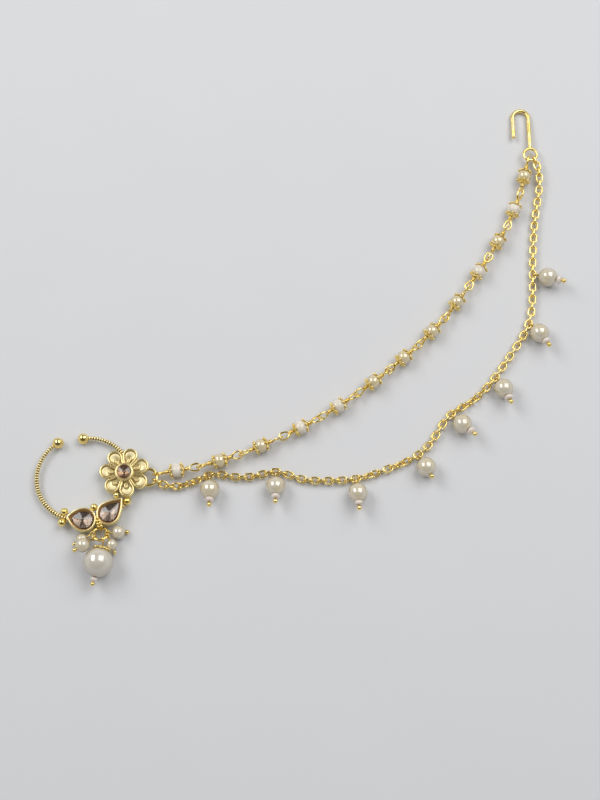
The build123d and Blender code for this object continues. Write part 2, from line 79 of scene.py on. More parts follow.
LEFT_ARC = {"x": -1.01, "y": 0.19, "radius": 10.13, "ball": 122, "seat": 254}
RIGHT_ARC = {"x": 1.20, "y": -0.50, "radius": 10.46, "ball": 98.5, "seat": -28}
FLOWER = {"x": 9.96, "y": 1.32}
PEARS = [
    {"node": "stone_left", "x": 0.72, "y": -10.15, "radius": 2.95, "reach": 4.15, "heading": 171},
    {"node": "stone_right", "x": 6.48, "y": -8.64, "radius": 2.85, "reach": 4.95, "heading": 49},
]
GRANULES = [
    {"x": -4.08, "y": -8.06, "z": 1.75, "diameter": 1.90},
    {"x": -4.58, "y": -10.66, "z": 1.75, "diameter": 2.00},
    {"x": 2.90, "y": -7.03, "z": 2.00, "diameter": 1.85},
    {"x": 8.16, "y": -4.10, "z": 1.90, "diameter": 1.60},
    {"x": 10.78, "y": -5.52, "z": 1.80, "diameter": 1.95},
    {"x": 4.45, "y": -10.95, "z": 1.90, "diameter": 1.20},
    {"x": 3.98, "y": -9.80, "z": 2.95, "diameter": 0.82},
    {"x": 3.86, "y": -10.48, "z": 2.80, "diameter": 0.76},
    {"x": 4.50, "y": -10.38, "z": 2.85, "diameter": 0.78},
    {"x": 4.02, "y": -11.18, "z": 2.72, "diameter": 0.78},
    {"x": 4.70, "y": -11.05, "z": 2.95, "diameter": 0.84},
    {"x": 4.28, "y": -11.85, "z": 2.74, "diameter": 0.76},
    {"x": 4.98, "y": -11.72, "z": 2.90, "diameter": 0.82},
]
SIDE_RING = {"x": 15.75, "y": 0.31, "z": 1.75, "diameter": 4.66, "wire": 0.75}
BAIL = {"x": 4.75, "y": -11.93, "z": 1.85, "diameter": 2.00, "wire": 0.46}

# what hangs where: the angle on the jump ring, or the number of the carrying link
CLUSTER_ANGLES = {"a": 178, "b": 222, "c": 12, "d": -20, "large": -66}
DROP_LINKS = (8, 18, 30, 40, 48, 57, 67, 75)
# the milky beads among the strand's thirteen, counted from the flower
MILKY_BEADS = (1, 4, 5, 10, 12)

# small beads on a pin, and the room each takes up there, in millimetres
SEED = {"diameter": 1.7, "thickness": 0.9, "room": 1.05}
SPACER = {"diameter": 2.1, "thickness": 1.1, "room": 1.25}
# play between a pin's ball and what it holds, and the strand beads' bore
PIN_PLAY = 0.1
BEAD_BORE = 0.7
# a spacer bead nearer to a pearl than this belongs to it, in millimetres
SPACER_NEAR = 4
# points along the hoop's wire for each rib
RIB_POINTS = 14.0
# the jump ring is a little thicker and wider than its solid
JUMP_RING = {"wire": 0.7, "extra": 0.1}
# how far a cap reaches down its bead in degrees, and the length of its lobes
STRAND_CAP = {"reach": 45, "lobe": 0.95}
CLUSTER_CAP = {"reach": 27, "lobe": 1.15, "granule": 0.55, "lobes": 8, "dome": 0.36}
# a cap's hole in degrees, its room round the bead in millimetres, and where its
# dome ends and its granules sit as shares of its reach
CAP_HOLE, CAP_ROOM, CAP_EDGE, CAP_TIP = 12, 0.06, 0.90, 1.13
# a lobe's wire and its lift as shares of the dome's thickness, and a granule's
# lift as a share of its size
LOBE_WIRE, LOBE_LIFT, GRANULE_LIFT = 1.1, 0.8, 0.4
# a wire belongs to its loop beyond this share of the collar's end
LOOP_START = 1.1
# a collar's wire as a share of its turns' spacing, and the share that it thins to
# over a share of its length at both ends
WINDING = {"wire": 1.05, "thin": 0.3, "run": 0.04}
# the raised drop on a petal: how far in its two circles lie, their radii, and how
# fast the smaller one draws in
PETAL_DROP = {"tip_in": 0.90, "tip": 0.58, "root_out": 0.95, "root": 0.30, "root_share": 0.55}
# facets round the round stone, and steps on each side of a pear one and its setting
ROUND_FACETS, PEAR_STEPS, SETTING_STEPS = 16, 4, 16
# a stone's narrower back and the height of its upper facets, as shares of the
# girdle and the crown, and half the girdle's height in millimetres
STONE_BACK, STONE_BELT, GIRDLE = 0.97, 0.6, 0.04
# how much more a pear stone draws in at its tip than at its sides, and how far its
# point lies towards the tip as a share of the reach
TIP_INSET, POINT_SHIFT = 1.5, 0.08

# each softbox's place, width and height in metres, and its share of the power
SOFTBOXES = {
    "softbox_left": ((-0.46, 0.26, 0.56), 0.34, 0.56, 1.0),
    "softbox_right": ((0.32, 0.26, 0.62), 0.56, 0.62, 1.3),
}
FLOOR_HALF = 3.0


# ---- settings ------------------------------------------------------------------------

def length(name, description, millimetres, low=0.0):
    """A length in the sidebar, given in millimetres."""
    return FloatProperty(
        name=name, description=description, default=millimetres * MM,
        min=low, precision=5, unit="LENGTH", subtype="DISTANCE",
    )


def plain(name, description, default):
    """A plain number in the sidebar."""
    return FloatProperty(name=name, description=description, default=default)


def angle(name, description, degrees):
    """An angle in the sidebar, given in degrees."""
    return FloatProperty(
        name=name, description=description, default=math.radians(degrees), subtype="ANGLE",
    )


def colour(name, description, red, green, blue):
    """A colour in the sidebar."""
    return FloatVectorProperty(
        name=name, description=description, default=(red, green, blue),
        min=0.0, max=1.0, size=3, subtype="COLOR",
    )


class NathMetal(bpy.types.PropertyGroup):
    """Colours of the plated metal"""
    gold: colour("Gold", "Polished plate of wires, rings and balls", 0.93, 0.70, 0.215)
    # pale gold gives the plate's lighter patches, and is also painted on the hoop, the settings'
    # rims and the petals' crests as a painted highlight
    pale_gold: colour("Pale gold", "Lighter patches of the plate", 0.98, 0.83, 0.43)
    antique_gold: colour("Antique gold", "Matt floor of the petals", 0.95, 0.81, 0.47)
    # painted shade: the dark colour painted into the hoop's grooves and the petals' recesses
    shade: colour("Shade", "Warm dark tone in recesses", 0.30, 0.16, 0.04)
    copper: colour("Copper", "Bright inner walls of the settings", 0.98, 0.60, 0.26)


class NathHoop(bpy.types.PropertyGroup):
    """Sizes of the wound hoop"""
    level: length("Level", "Height of the wire's centre above the floor", 1.35)
    middle: length("Width in the middle", "Width over the winding half-way round", 1.36)
    end: length("Width at the ends", "Width over the winding at the balls", 1.05)
    rib: length("Rib pitch", "Distance from rib to rib", 0.616)
    groove: length("Groove", "Depth between two ribs", 0.28)
    bulge: plain("Rib bulge", "Half a rib's width as a share of its round's radius", 1.18)
    flatness: plain("Flatness", "Height of the wire as a share of its width", 0.85)
    ball: length("Ball", "Diameter of the ball ends", 2.7)


class NathFlower(bpy.types.PropertyGroup):
    """Sizes of the flower"""
    petals: IntProperty(name="Petals", description="Number of petals", default=7, min=3)
    first: angle("First petal", "Direction of the first petal", 22)
    reach: length("Reach", "From the middle to a petal's edge", 6.05)
    width: length("Petal width", "Across a petal's lobe", 3.6)
    root_width: length("Root width", "Across a petal's root", 1.5)
    root_reach: length("Root reach", "From the middle to a petal's root", 1.7)
    back: length("Back", "Height of the flower's back", 1.45)
    floor: length("Petal floor", "Height of the petals' floor", 2.25)
    rim: length("Petal rim", "Height of the petals' rim", 2.75)
    ridge: length("Ridge", "Height of the raised drop on a petal", 2.6)
    cup: length("Cup", "Diameter of the middle cup", 4.44)
    cup_bore: length("Cup bore", "Inner diameter of the cup", 3.42)
    cup_top: length("Cup top", "Height of the cup's edge", 3.6)
    cup_seat: length("Cup seat", "Height of the cup's floor", 2.9)


class NathPears(bpy.types.PropertyGroup):
    """Sizes of the pear settings"""
    back: length("Back", "Height of the settings' back", 1.2)
    top: length("Top", "Height of the settings' rim", 3.1)
    seat: length("Seat", "Height of the settings' floor", 2.15)
    wall: length("Rim width", "Width of the rim", 0.46)
    slope: angle("Inner slope", "Slope of the bright inner wall", 22)
    shoulder: angle("Shoulder", "Where the round end turns into the sides", 68)


class NathStones(bpy.types.PropertyGroup):
    """Cut and colour of the stones"""
    table: plain("Table", "Upper row of facets as a share of the girdle", 0.5)
    gap: length("Gap", "Clearance between a stone and its seat", 0.1)
    base: length("Base", "Depth below the girdle", 0.50)
    round_size: length("Round stone", "Diameter of the round stone", 3.2)
    round_crown: length("Round crown", "Height of the round stone's crown", 0.66)
    pear_crown: length("Pear crown", "Height of the pear stones' crowns", 0.64)
    glass: colour("Glass", "Body of the stones", 0.86, 0.785, 0.765)
    foil: colour("Foil", "Mirror coat on the pear stones' backs", 0.43, 0.36, 0.29)
    round_foil: colour("Round foil", "Mirror coat on the round stone's back", 0.52, 0.36, 0.22)


class NathPearls(bpy.types.PropertyGroup):
    """Colours of pearls and beads, and sizes of their pins"""
    white: colour("White pearl", "Large pearl", 0.72, 0.665, 0.56)
    cream: colour("Cream pearl", "Pearls of the drops and the cluster", 0.74, 0.635, 0.42)
    strand: colour("Strand bead", "Cream beads of the strand", 0.80, 0.65, 0.33)
    milky: colour("Milky bead", "Milky beads of the strand", 0.88, 0.815, 0.70)
    spacer: colour("Spacer bead", "Small pinkish spacer beads", 0.88, 0.76, 0.72)
    # painted dark reflection: the tone that pearls are painted towards at their edges
    edge: colour("Edge", "Tone towards a pearl's edge", 0.34, 0.25, 0.10)
    bore: length("Bore", "Hole drilled through a pearl", 0.62)
    pin: length("Pin wire", "Wire of the head pins", 0.36)
    eye: length("Pin eye", "Outer diameter of a pin's eye", 1.56)
    cluster_ball: length("Cluster ball", "Ball end of the cluster's pins", 1.05)
    drop_ball: length("Drop ball", "Ball end of the drops' pins", 1.2)


class NathStrand(bpy.types.PropertyGroup):
    """Sizes of the beaded strand"""
    wire: length("Wire", "Wire through the beads", 0.50)
    collar: length("Collar", "Width of a wrapped collar", 1.16)
    collar_start: length("Collar start", "From a bead's middle to its collar", 2.08)
    collar_end: length("Collar end", "From a bead's middle to the collar's end", 2.95)
    wraps: plain("Wraps", "Turns in a collar", 3.0)
    pinch: plain("Pinch", "How far a loop's sides draw together towards the bead", 0.33)
    loop_length: length("Loop length", "Length of a loop", 3.02)
    loop_width: length("Loop width", "Width of a loop", 2.37)
    loop_centre: length("Loop centre", "From a bead's middle to a loop's middle", 4.38)
    lobes: IntProperty(name="Cap lobes", description="Lobes round a bead cap", default=8, min=3)
    cap: length("Cap thickness", "Thickness of a cap's dome", 0.22)
    granule: length("Cap granule", "Ball at the tip of a lobe", 0.6)


class NathChain(bpy.types.PropertyGroup):
    """Sizes of the cable chain"""
    link_length: length("Link length", "Length of a link", 2.76)
    link_width: length("Link width", "Width of a link", 2.0)
    wire: length("Link wire", "Wire of a link", 0.52)


class NathStage(bpy.types.PropertyGroup):
    """Camera, floor and light"""
    tilt: angle("Camera tilt", "How far the camera leans back from straight down", 15)
    lens: plain("Lens", "Focal length in millimetres", 64.66)
    distance: length("Distance", "From the camera to where it looks", 350.0)
    look_x: length("Look at X", "Where the camera looks", -1.034, low=-1.0)
    look_y: length("Look at Y", "Where the camera looks", -15.661, low=-1.0)
    floor: colour("Floor", "Colour of the floor", 0.72, 0.725, 0.74)
    softbox: plain("Softbox", "Power of a softbox in watts", 2.35)
    ambient: plain("Ambient", "Strength of the room's light", 0.28)


class NathSettings(bpy.types.PropertyGroup):
    """All settings of the nath"""
    metal: PointerProperty(type=NathMetal)
    hoop: PointerProperty(type=NathHoop)
    flower: PointerProperty(type=NathFlower)
    pears: PointerProperty(type=NathPears)
    stones: PointerProperty(type=NathStones)
    pearls: PointerProperty(type=NathPearls)
    strand: PointerProperty(type=NathStrand)
    chain: PointerProperty(type=NathChain)
    stage: PointerProperty(type=NathStage)


def settings():
    """The scene's settings."""
    return bpy.context.scene.nath


# ---- joining nodes -------------------------------------------------------------------

class Term:
    """A value in a node tree that is reckoned with like a number."""

    def __init__(self, tree, socket):
        self.tree = tree
        self.socket = socket

    def __add__(self, other):
        return self.tree.reckon("ADD", self, other)

    def __sub__(self, other):
        return self.tree.reckon("SUBTRACT", self, other)

    def __rsub__(self, other):
        return self.tree.reckon("SUBTRACT", other, self)

    def __mul__(self, other):
        return self.tree.reckon("MULTIPLY", self, other)

    def __truediv__(self, other):
        return self.tree.reckon("DIVIDE", self, other)

    def __rtruediv__(self, other):
        return self.tree.reckon("DIVIDE", other, self)


class Tree:
    """A node tree that is being put together."""

    def __init__(self, tree):
        self.tree = tree

    def add(self, kind, inputs=None, **options):
        """Adds a node, sets its options and feeds its inputs; gives the node."""
        node = self.tree.nodes.new(kind)
        for option, value in options.items():
            setattr(node, option, value)
        self.feed(node, inputs or {})
        return node

    def feed(self, node, inputs):
        """Links values of the tree to a node's inputs, or sets plain values."""
        for key, value in inputs.items():
            socket = node.inputs[key]
            if isinstance(value, bpy.types.Node):
                value = next(output for output in value.outputs if output.enabled)
            elif isinstance(value, Term):
                value = value.socket
            if isinstance(value, bpy.types.NodeSocket):
                self.tree.links.new(value, socket)
            elif socket.type == "RGBA" and len(value) == 3:
                socket.default_value = (*value, 1)
            else:
                socket.default_value = value

    def term(self, kind, output, inputs=None, **options):
        """Adds a node; gives one of its outputs."""
        return Term(self, self.add(kind, inputs, **options).outputs[output])

    def reckon(self, operation, first, second=0.0):
        """A sum on numbers."""
        return self.term("ShaderNodeMath", 0, {0: first, 1: second}, operation=operation)

    def vector(self, x=0.0, y=0.0, z=0.0):
        """A vector from three numbers."""
        return self.term("ShaderNodeCombineXYZ", 0, {"X": x, "Y": y, "Z": z})

    def blend(self, factor, first, second):
        """A mix of two colours."""
        return self.term("ShaderNodeMix", 2, {0: factor, 6: first, 7: second}, data_type="RGBA")

    def spread(self, value, low, high, to_low, to_high, bend="LINEAR"):
        """A number moved from one range to another, and kept in it."""
        ranges = {0: value, 1: low, 2: high, 3: to_low, 4: to_high}
        return self.term("ShaderNodeMapRange", 0, ranges, interpolation_type=bend)


class Grower(Tree):
    """A Geometry Nodes tree with named inputs for its sizes."""

    def __init__(self, name):
        super().__init__(bpy.data.node_groups.new(name, "GeometryNodeTree"))
        for way in ("INPUT", "OUTPUT"):
            self.tree.interface.new_socket(
                "Geometry", in_out=way, socket_type="NodeSocketGeometry",
            )
        self.entry = self.tree.nodes.new("NodeGroupInput")
        self.exit = self.tree.nodes.new("NodeGroupOutput")
        self.values = {}

    @property
    def start(self):
        """The geometry that the tree is given."""
        return self.entry.outputs["Geometry"]

    def size(self, name, value, kind="NodeSocketFloat"):
        """A named input with its value."""
        socket = self.tree.interface.new_socket(name, in_out="INPUT", socket_type=kind)
        self.values[socket.identifier] = value
        return Term(self, self.entry.outputs[name])

    def sizes(self, group, *keys):
        """Named inputs that take settings of a group."""
        names = group.bl_rna.properties
        return [self.size(names[key].name, getattr(group, key)) for key in keys]

    def attribute(self, name):
        """A named vector of the geometry."""
        kind = "GeometryNodeInputNamedAttribute"
        return self.term(kind, "Attribute", {"Name": name}, data_type="FLOAT_VECTOR")

    def axes(self, first, along, second, towards):
        """The rotation that turns one axis along a vector, and a second towards another."""
        return self.add(
            "FunctionNodeAxesToRotation", {0: along, 1: towards},
            primary_axis=first, secondary_axis=second,
        )

    def lay(self):
        """The rotation that the points' own vectors along and facing give."""
        return self.axes("X", self.attribute("along"), "Z", self.attribute("facing"))

    def tube(self, path, wire, sides, scale=1.0, squash=None):
        """A tube along a curve, scaled along the way, its round profile squashed by a vector."""
        profile = self.add(
            "GeometryNodeCurvePrimitiveCircle", {"Resolution": sides, "Radius": wire * 0.5},
        )
        if squash:
            profile = self.moved(profile, scale=squash)
        return self.add(
            "GeometryNodeCurveToMesh",
            {"Curve": path, "Profile Curve": profile, "Scale": scale, "Fill Caps": True},
        )

    def oval(self, span, width, wire, steps=20, sides=8, pinch=0.0):
        """A closed oval ring of round wire in the XY plane, its length along X.

        Pinch draws the sides together towards -X, by a share of the width.
        """
        ring = self.add(
            "GeometryNodeCurvePrimitiveCircle",
            {"Resolution": steps, "Radius": (width - wire) * 0.5},
        )
        ring = self.moved(ring, rotation=(0, 0, math.pi / steps))
        place = self.add("ShaderNodeSeparateXYZ", {0: self.add("GeometryNodeInputPosition")})
        x, y = (Term(self, place.outputs[axis]) for axis in "XY")
        ring = self.shifted(ring, self.vector(self.reckon("SIGN", x) * ((span - width) * 0.5)))
        if pinch:
            near = self.spread(x, span * -0.5, span * 0.25, pinch, 0.0, "SMOOTHSTEP")
            ring = self.shifted(ring, self.vector(y=y * near * -1.0))
        return self.tube(ring, wire, sides)

    def moved(self, shape, offset=(0, 0, 0), rotation=(0, 0, 0), scale=(1, 1, 1)):
        """A shape scaled, turned and moved."""
        return self.add("GeometryNodeTransform", {
            "Geometry": shape, "Translation": offset, "Rotation": rotation, "Scale": scale,
        })

    def shifted(self, shape, offset):
        """A shape whose points each move by an offset."""
        return self.add("GeometryNodeSetPosition", {"Geometry": shape, "Offset": offset})

    def grain(self, size, fineness):
        """A ball made of triangles."""
        shape = {"Radius": size * 0.5, "Subdivisions": fineness}
        return self.add("GeometryNodeMeshIcoSphere", shape)

    def join(self, *shapes):
        """Several shapes as one."""
        node = self.add("GeometryNodeJoinGeometry")
        for shape in reversed(shapes):
            self.feed(node, {"Geometry": shape})
        return node

    def copies(self, points, shape, rotation=(0, 0, 0), scale=(1, 1, 1)):
        """A shape put on each point."""
        return self.add("GeometryNodeInstanceOnPoints", {
            "Points": points, "Instance": shape, "Rotation": rotation, "Scale": scale,
        })

    def piece(self, name, base, shape, finish, slot, node):
        """Ends the tree with real faces in a material, and runs it on a base mesh."""
        material = self.size("Material", finish, "NodeSocketMaterial")
        real = self.add("GeometryNodeRealizeInstances", {"Geometry": shape})
        painted = self.add("GeometryNodeSetMaterial", {"Geometry": real, "Material": material})
        self.feed(self.exit, {"Geometry": painted})
        carrier = bpy.data.objects.new(name + "_base", base)
        bpy.context.scene.collection.objects.link(carrier)
        modifier = carrier.modifiers.new("Grow", "NODES")
        modifier.node_group = self.tree
        for identifier, value in self.values.items():
            modifier[identifier] = value
        graph = bpy.context.evaluated_depsgraph_get()
        grown = bpy.data.meshes.new_from_object(carrier.evaluated_get(graph))
        carrier.modifiers.remove(modifier)
        bpy.data.objects.remove(carrier)
        if not grown.polygons:
            raise RuntimeError(f"{name} grew no faces")
        return ready(as_piece(name, grown), slot, [finish], node)


def points_mesh(name, places, **vectors):
    """A mesh of loose points, with a vector attribute for each named list."""
    mesh = bpy.data.meshes.new(name)
    mesh.from_pydata([tuple(place) for place in places], [], [])
    for attribute, values in vectors.items():
        layer = mesh.attributes.new(attribute, "FLOAT_VECTOR", "POINT")
        layer.data.foreach_set("vector", [number for value in values for number in value])
    return mesh


# ---- making meshes -------------------------------------------------------------------

def as_piece(name, mesh, smooth=True):
    """An object for a mesh, its doubles merged and its faces turned outwards."""
    work = bmesh.new()
    work.from_mesh(mesh)
    bmesh.ops.remove_doubles(work, verts=work.verts, dist=1e-8)
    bmesh.ops.recalc_face_normals(work, faces=work.faces)
    work.to_mesh(mesh)
    work.free()
    mesh.polygons.foreach_set("use_smooth", [smooth] * len(mesh.polygons))
    mesh.update()
    mesh.name = name
    piece = bpy.data.objects.new(name, mesh)
    bpy.context.scene.collection.objects.link(piece)
    return piece


def skin(rings, bands=None, closed=False, polish=None):
    """A mesh over rings of points; bands number the material of each strip of faces."""
    count = len(rings[0])
    strips = len(rings) if closed else len(rings) - 1
    corners = [tuple(point) for ring in rings for point in ring]
    faces = []
    marks = []
    for strip in range(strips):
        near = strip * count
        far = (strip + 1) % len(rings) * count
        for step in range(count):
            after = (step + 1) % count
            faces.append((near + step, near + after, far + after, far + step))
            marks.append(bands[strip] if bands else 0)
    if not closed:
        faces.append(tuple(reversed(range(count))))
        faces.append(tuple(range(len(corners) - count, len(corners))))
        marks += [bands[0], bands[-1]] if bands else [0, 0]
    mesh = bpy.data.meshes.new("skin")
    mesh.from_pydata(corners, [], faces)
    mesh.polygons.foreach_set("material_index", marks)
    if polish is not None:
        layer = mesh.attributes.new("polish", "FLOAT", "POINT")
        layer.data.foreach_set("value", [value for value in polish for _ in range(count)])
    return mesh


def square_to(direction):
    """Two directions at right angles to a third and to each other."""
    helper = UP if abs(direction.normalized().z) < 0.9 else Vector((1, 0, 0))
    side = direction.cross(helper).normalized()
    return side, direction.cross(side).normalized()


def turned(profile, centre, axis, steps=32, bands=None, closed=False):
    """A mesh turned about an axis from a profile of (distance along it, radius)."""
    axis = Vector(axis).normalized()
    side, other = square_to(axis)
    spokes = [2 * math.pi * step / steps for step in range(steps)]
    rings = [
        [
            centre + axis * distance + (side * math.cos(turn) + other * math.sin(turn)) * radius
            for turn in spokes
        ]
        for distance, radius in profile
    ]
    return skin(rings, bands, closed)


def arc(radius, first, last, steps, x=0.0, y=0.0):
    """Points of an arc in the plane, between two angles in degrees."""
    angles = [math.radians(first + (last - first) * step / steps) for step in range(steps + 1)]
    return [(x + radius * math.cos(turn), y + radius * math.sin(turn)) for turn in angles]


def drilled_ball(diameter, bore, centre, axis, steps=40):
    """A ball with a hole along an axis."""
    half = diameter / 2
    start = math.degrees(math.asin(bore / diameter))
    return turned(arc(half, start, 180 - start, steps // 2 + 4), centre, axis, steps, closed=True)


def rounded_disc(bead, bore, centre, axis, steps=28):
    """A small drilled bead with a round side."""
    half = bead["thickness"] * MM / 2
    waist = bead["diameter"] * MM / 2 - half
    profile = [(half, bore / 2)] + arc(half, 0, 180, 12, y=waist) + [(-half, bore / 2)]
    return turned(profile, centre, axis, steps, closed=True)


def torus(diameter, wire, centre, axis, steps=48, sides=12):
    """A ring of round wire about an axis."""
    radius = (diameter - wire) / 2
    profile = arc(wire / 2, 0, 360 - 360 / sides, sides - 1, 0.0, radius)
    return turned(profile, centre, axis, steps, closed=True)


def ball(diameter, centre, steps=32):
    """A closed ball."""
    return turned(arc(diameter / 2, 0, 180, steps // 2), centre, UP, steps)


def united(name, meshes):
    """Several meshes as one piece."""
    work = bmesh.new()
    for mesh in meshes:
        work.from_mesh(mesh)
    whole = bpy.data.meshes.new(name)
    work.to_mesh(whole)
    work.free()
    return as_piece(name, whole)


def spot(x, y, z=0.0):
    """A point given in millimetres from the hoop's centre."""
    return HOOP + Vector((x, y, z)) * MM


def ready(piece, slot, finishes, *nodes):
    """Gives a piece its materials, sets it on the body, and hides what it stands for."""
    mesh = piece.data
    marks = [0] * len(mesh.polygons)
    if len(finishes) > 1:
        mesh.polygons.foreach_get("material_index", marks)
    mesh.materials.clear()
    for finish in finishes:
        mesh.materials.append(finish)
    mesh.polygons.foreach_set("material_index", marks)
    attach(piece, "root")
    if nodes:
        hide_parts(*nodes)
    return piece


# ---- reading the solids --------------------------------------------------------------

def loose_solids(node):
    """The triangles of each loose solid of a node, as arrays of corners."""
    work = bmesh.new()
    work.from_mesh(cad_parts[node].data)
    bmesh.ops.remove_doubles(work, verts=work.verts, dist=1e-7)
    work.faces.ensure_lookup_table()
    seen = set()
    solids = []
    for first in work.faces:
        if first.index in seen:
            continue
        seen.add(first.index)
        heap = [first]
        corners = []
        while heap:
            face = heap.pop()
            corners.append([tuple(vertex.co) for vertex in face.verts[:3]])
            for vertex in face.verts:
                for other in vertex.link_faces:
                    if other.index not in seen:
                        seen.add(other.index)
                        heap.append(other)
        solids.append(np.array(corners))
    work.free()
    return solids


def surface_axes(triangles):
    """The middle of a surface and its three main directions, the longest first."""
    edges = np.cross(triangles[:, 1] - triangles[:, 0], triangles[:, 2] - triangles[:, 0])
    areas = np.linalg.norm(edges, axis=1) / 2
    middle = (triangles.mean(axis=1) * areas[:, None]).sum(axis=0) / areas.sum()
    local = triangles - middle
    total = local.sum(axis=1)
    moments = np.einsum("t,ti,tj->ij", areas, total, total)
    moments += np.einsum("t,tci,tcj->ij", areas, local, local)
    directions = np.linalg.eigh(moments)[1].T[::-1]
    return Vector(middle), [Vector(direction) for direction in directions]


def middle_of(node):
    """The middle of a node's box."""
    low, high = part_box(node)
    return (low + high) / 2


def size_of(node):
    """The sides of a node's box."""
    low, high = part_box(node)
    return high - low


def chain_links():
    """The middle and directions of each link, in order from the side ring."""
    links = [surface_axes(solid) for solid in loose_solids("chain_links")]
    here = spot(SIDE_RING["x"], SIDE_RING["y"])
    ordered = []
    while links:
        links.sort(key=lambda link: (link[0] - here).length)
        here = links[0][0]
        ordered.append(links.pop(0))
    return ordered


# ---- materials -----------------------------------------------------------------------

def effect(name, inputs, outputs):
    """A new shader node group; gives its tree, its inputs by name and the node it ends in."""
    group = bpy.data.node_groups.new(name, "ShaderNodeTree")
    for label, value in inputs.items():
        kind = "NodeSocketColor" if isinstance(value, tuple) else "NodeSocketFloat"
        socket = group.interface.new_socket(label, in_out="INPUT", socket_type=kind)
        socket.default_value = (*value, 1) if isinstance(value, tuple) else value
    for label in outputs:
        kind = "NodeSocketColor" if label == "Color" else "NodeSocketFloat"
        group.interface.new_socket(label, in_out="OUTPUT", socket_type=kind)
    tree = Tree(group)
    entry = group.nodes.new("NodeGroupInput")
    given = {label: Term(tree, entry.outputs[label]) for label in inputs}
    return tree, given, group.nodes.new("NodeGroupOutput")


def object_noise(tree, scale, detail=2.0):
    """Noise fixed to the object."""
    place = tree.term("ShaderNodeTexCoord", "Object")
    return tree.term("ShaderNodeTexNoise", 0, {"Vector": place, "Scale": scale, "Detail": detail})


def plate_wear():
    """Uneven plating: patches of a second tone, fine marks and a soft unevenness."""
    if "Plate wear" in bpy.data.node_groups:
        return bpy.data.node_groups["Plate wear"]
    tree, given, leave = effect(
        "Plate wear",
        {"Tone": (0.8, 0.6, 0.2), "Second tone": (0.9, 0.8, 0.4), "Patch scale": 400.0,
         "Mark scale": 6000.0, "Roughness": 0.2, "Roughness spread": 0.1},
        ("Color", "Roughness", "Height"),
    )
    patches = object_noise(tree, given["Patch scale"], 3.0)
    marks = object_noise(tree, given["Mark scale"], 4.0)
    share_of_second = tree.spread(patches, 0.42, 0.66, 0.0, 1.0)
    tree.feed(leave, {
        "Color": tree.blend(share_of_second, given["Tone"], given["Second tone"]),
        "Roughness": given["Roughness"] + (marks - 0.5) * given["Roughness spread"],
        "Height": patches * 0.7 + marks * 0.3,
    })
    return tree.tree


def nacre():
    """The uneven coat of a pearl: soft clouds of a second tone and a fine skin."""
    if "Nacre" in bpy.data.node_groups:
        return bpy.data.node_groups["Nacre"]
    tree, given, leave = effect(
        "Nacre",
        {"Tone": (0.8, 0.8, 0.7), "Second tone": (0.8, 0.7, 0.7), "Cloud scale": 300.0,
         "Skin scale": 5000.0},
        ("Color", "Height"),
    )
    clouds = object_noise(tree, given["Cloud scale"])
    share_of_second = tree.spread(clouds, 0.35, 0.70, 0.0, 1.0)
    tree.feed(leave, {
        "Color": tree.blend(share_of_second, given["Tone"], given["Second tone"]),
        "Height": clouds + object_noise(tree, given["Skin scale"]) * 0.2,
    })
    return tree.tree


def new_material(name):
    """A material with an empty tree; gives the material, its tree and its shader."""
    material = bpy.data.materials.new(name)
    material.use_nodes = True
    tree = Tree(material.node_tree)
    shader = material.node_tree.nodes["Principled BSDF"]
    return material, tree, shader


def bumped(tree, shader, height, distance):
    """Feeds a height to a shader's normal."""
    bump = tree.add("ShaderNodeBump", {"Height": height, "Distance": distance, "Strength": 1.0})
    tree.feed(shader, {"Normal": bump})


def tinted(tone, factor):
    """A colour made lighter or darker."""
    return tuple(min(1.0, part * factor) for part in tone)


def metal_finish(
    name, tone, second, roughness, spread=0.12, relief=0.006, metallic=1.0,
    patches=700.0, marks=9000.0, surface=None,
):
    """Plated metal with uneven tone, fine marks and a soft unevenness.

    Surface, if given, changes the colour and the roughness that the wear gives.
    """
    if name in bpy.data.materials:
        return bpy.data.materials[name]
    material, tree, shader = new_material(name)
    wear = tree.add("ShaderNodeGroup", {
        "Tone": tone, "Second tone": second, "Patch scale": patches, "Mark scale": marks,
        "Roughness": roughness, "Roughness spread": spread,
    }, node_tree=plate_wear())
    plate, rough, height = (Term(tree, output) for output in wear.outputs)
    if surface:
        # the crest value stored on the mesh, by which a surface paints highlight and shade
        polish = tree.term("ShaderNodeAttribute", "Fac", attribute_name="polish")
        plate, rough = surface(tree, polish, plate, rough)
    tree.feed(shader, {"Base Color": plate, "Roughness": rough, "Metallic": metallic})
    bumped(tree, shader, height, relief * MM)
    return material


def gold():
    """Polished plate of the wires, rings and balls."""
    metal = settings().metal
    return metal_finish("Polished gold", metal.gold, metal.pale_gold, 0.17)


def ribbed_gold():
    """Polished plate of the hoop, painted paler than the other gold as a painted highlight, with
    painted shade between its ribs.
    """
    metal = settings().metal

    def surface(tree, polish, plate, rough):
        # painted shade: where the crest value falls towards the groove, the plate is painted in the
        # shade colour
        return tree.blend(tree.spread(polish, 0.40, 0.80, 1.0, 0.0), plate, metal.shade), rough

    return metal_finish(
        "Ribbed gold", metal.pale_gold, tinted(metal.pale_gold, 1.1), 0.32, surface=surface,
    )


def rim_gold():
    """Satin plate of the settings' rims, painted paler than the other gold as a painted highlight.
    """
    pale = settings().metal.pale_gold
    return metal_finish("Rim gold", pale, tinted(pale, 1.1), 0.30)


def copper():
    """Bright warm inner walls of the settings."""
    tone = settings().metal.copper
    return metal_finish("Copper wall", tone, tinted(tone, 1.25), 0.30, metallic=0.72)


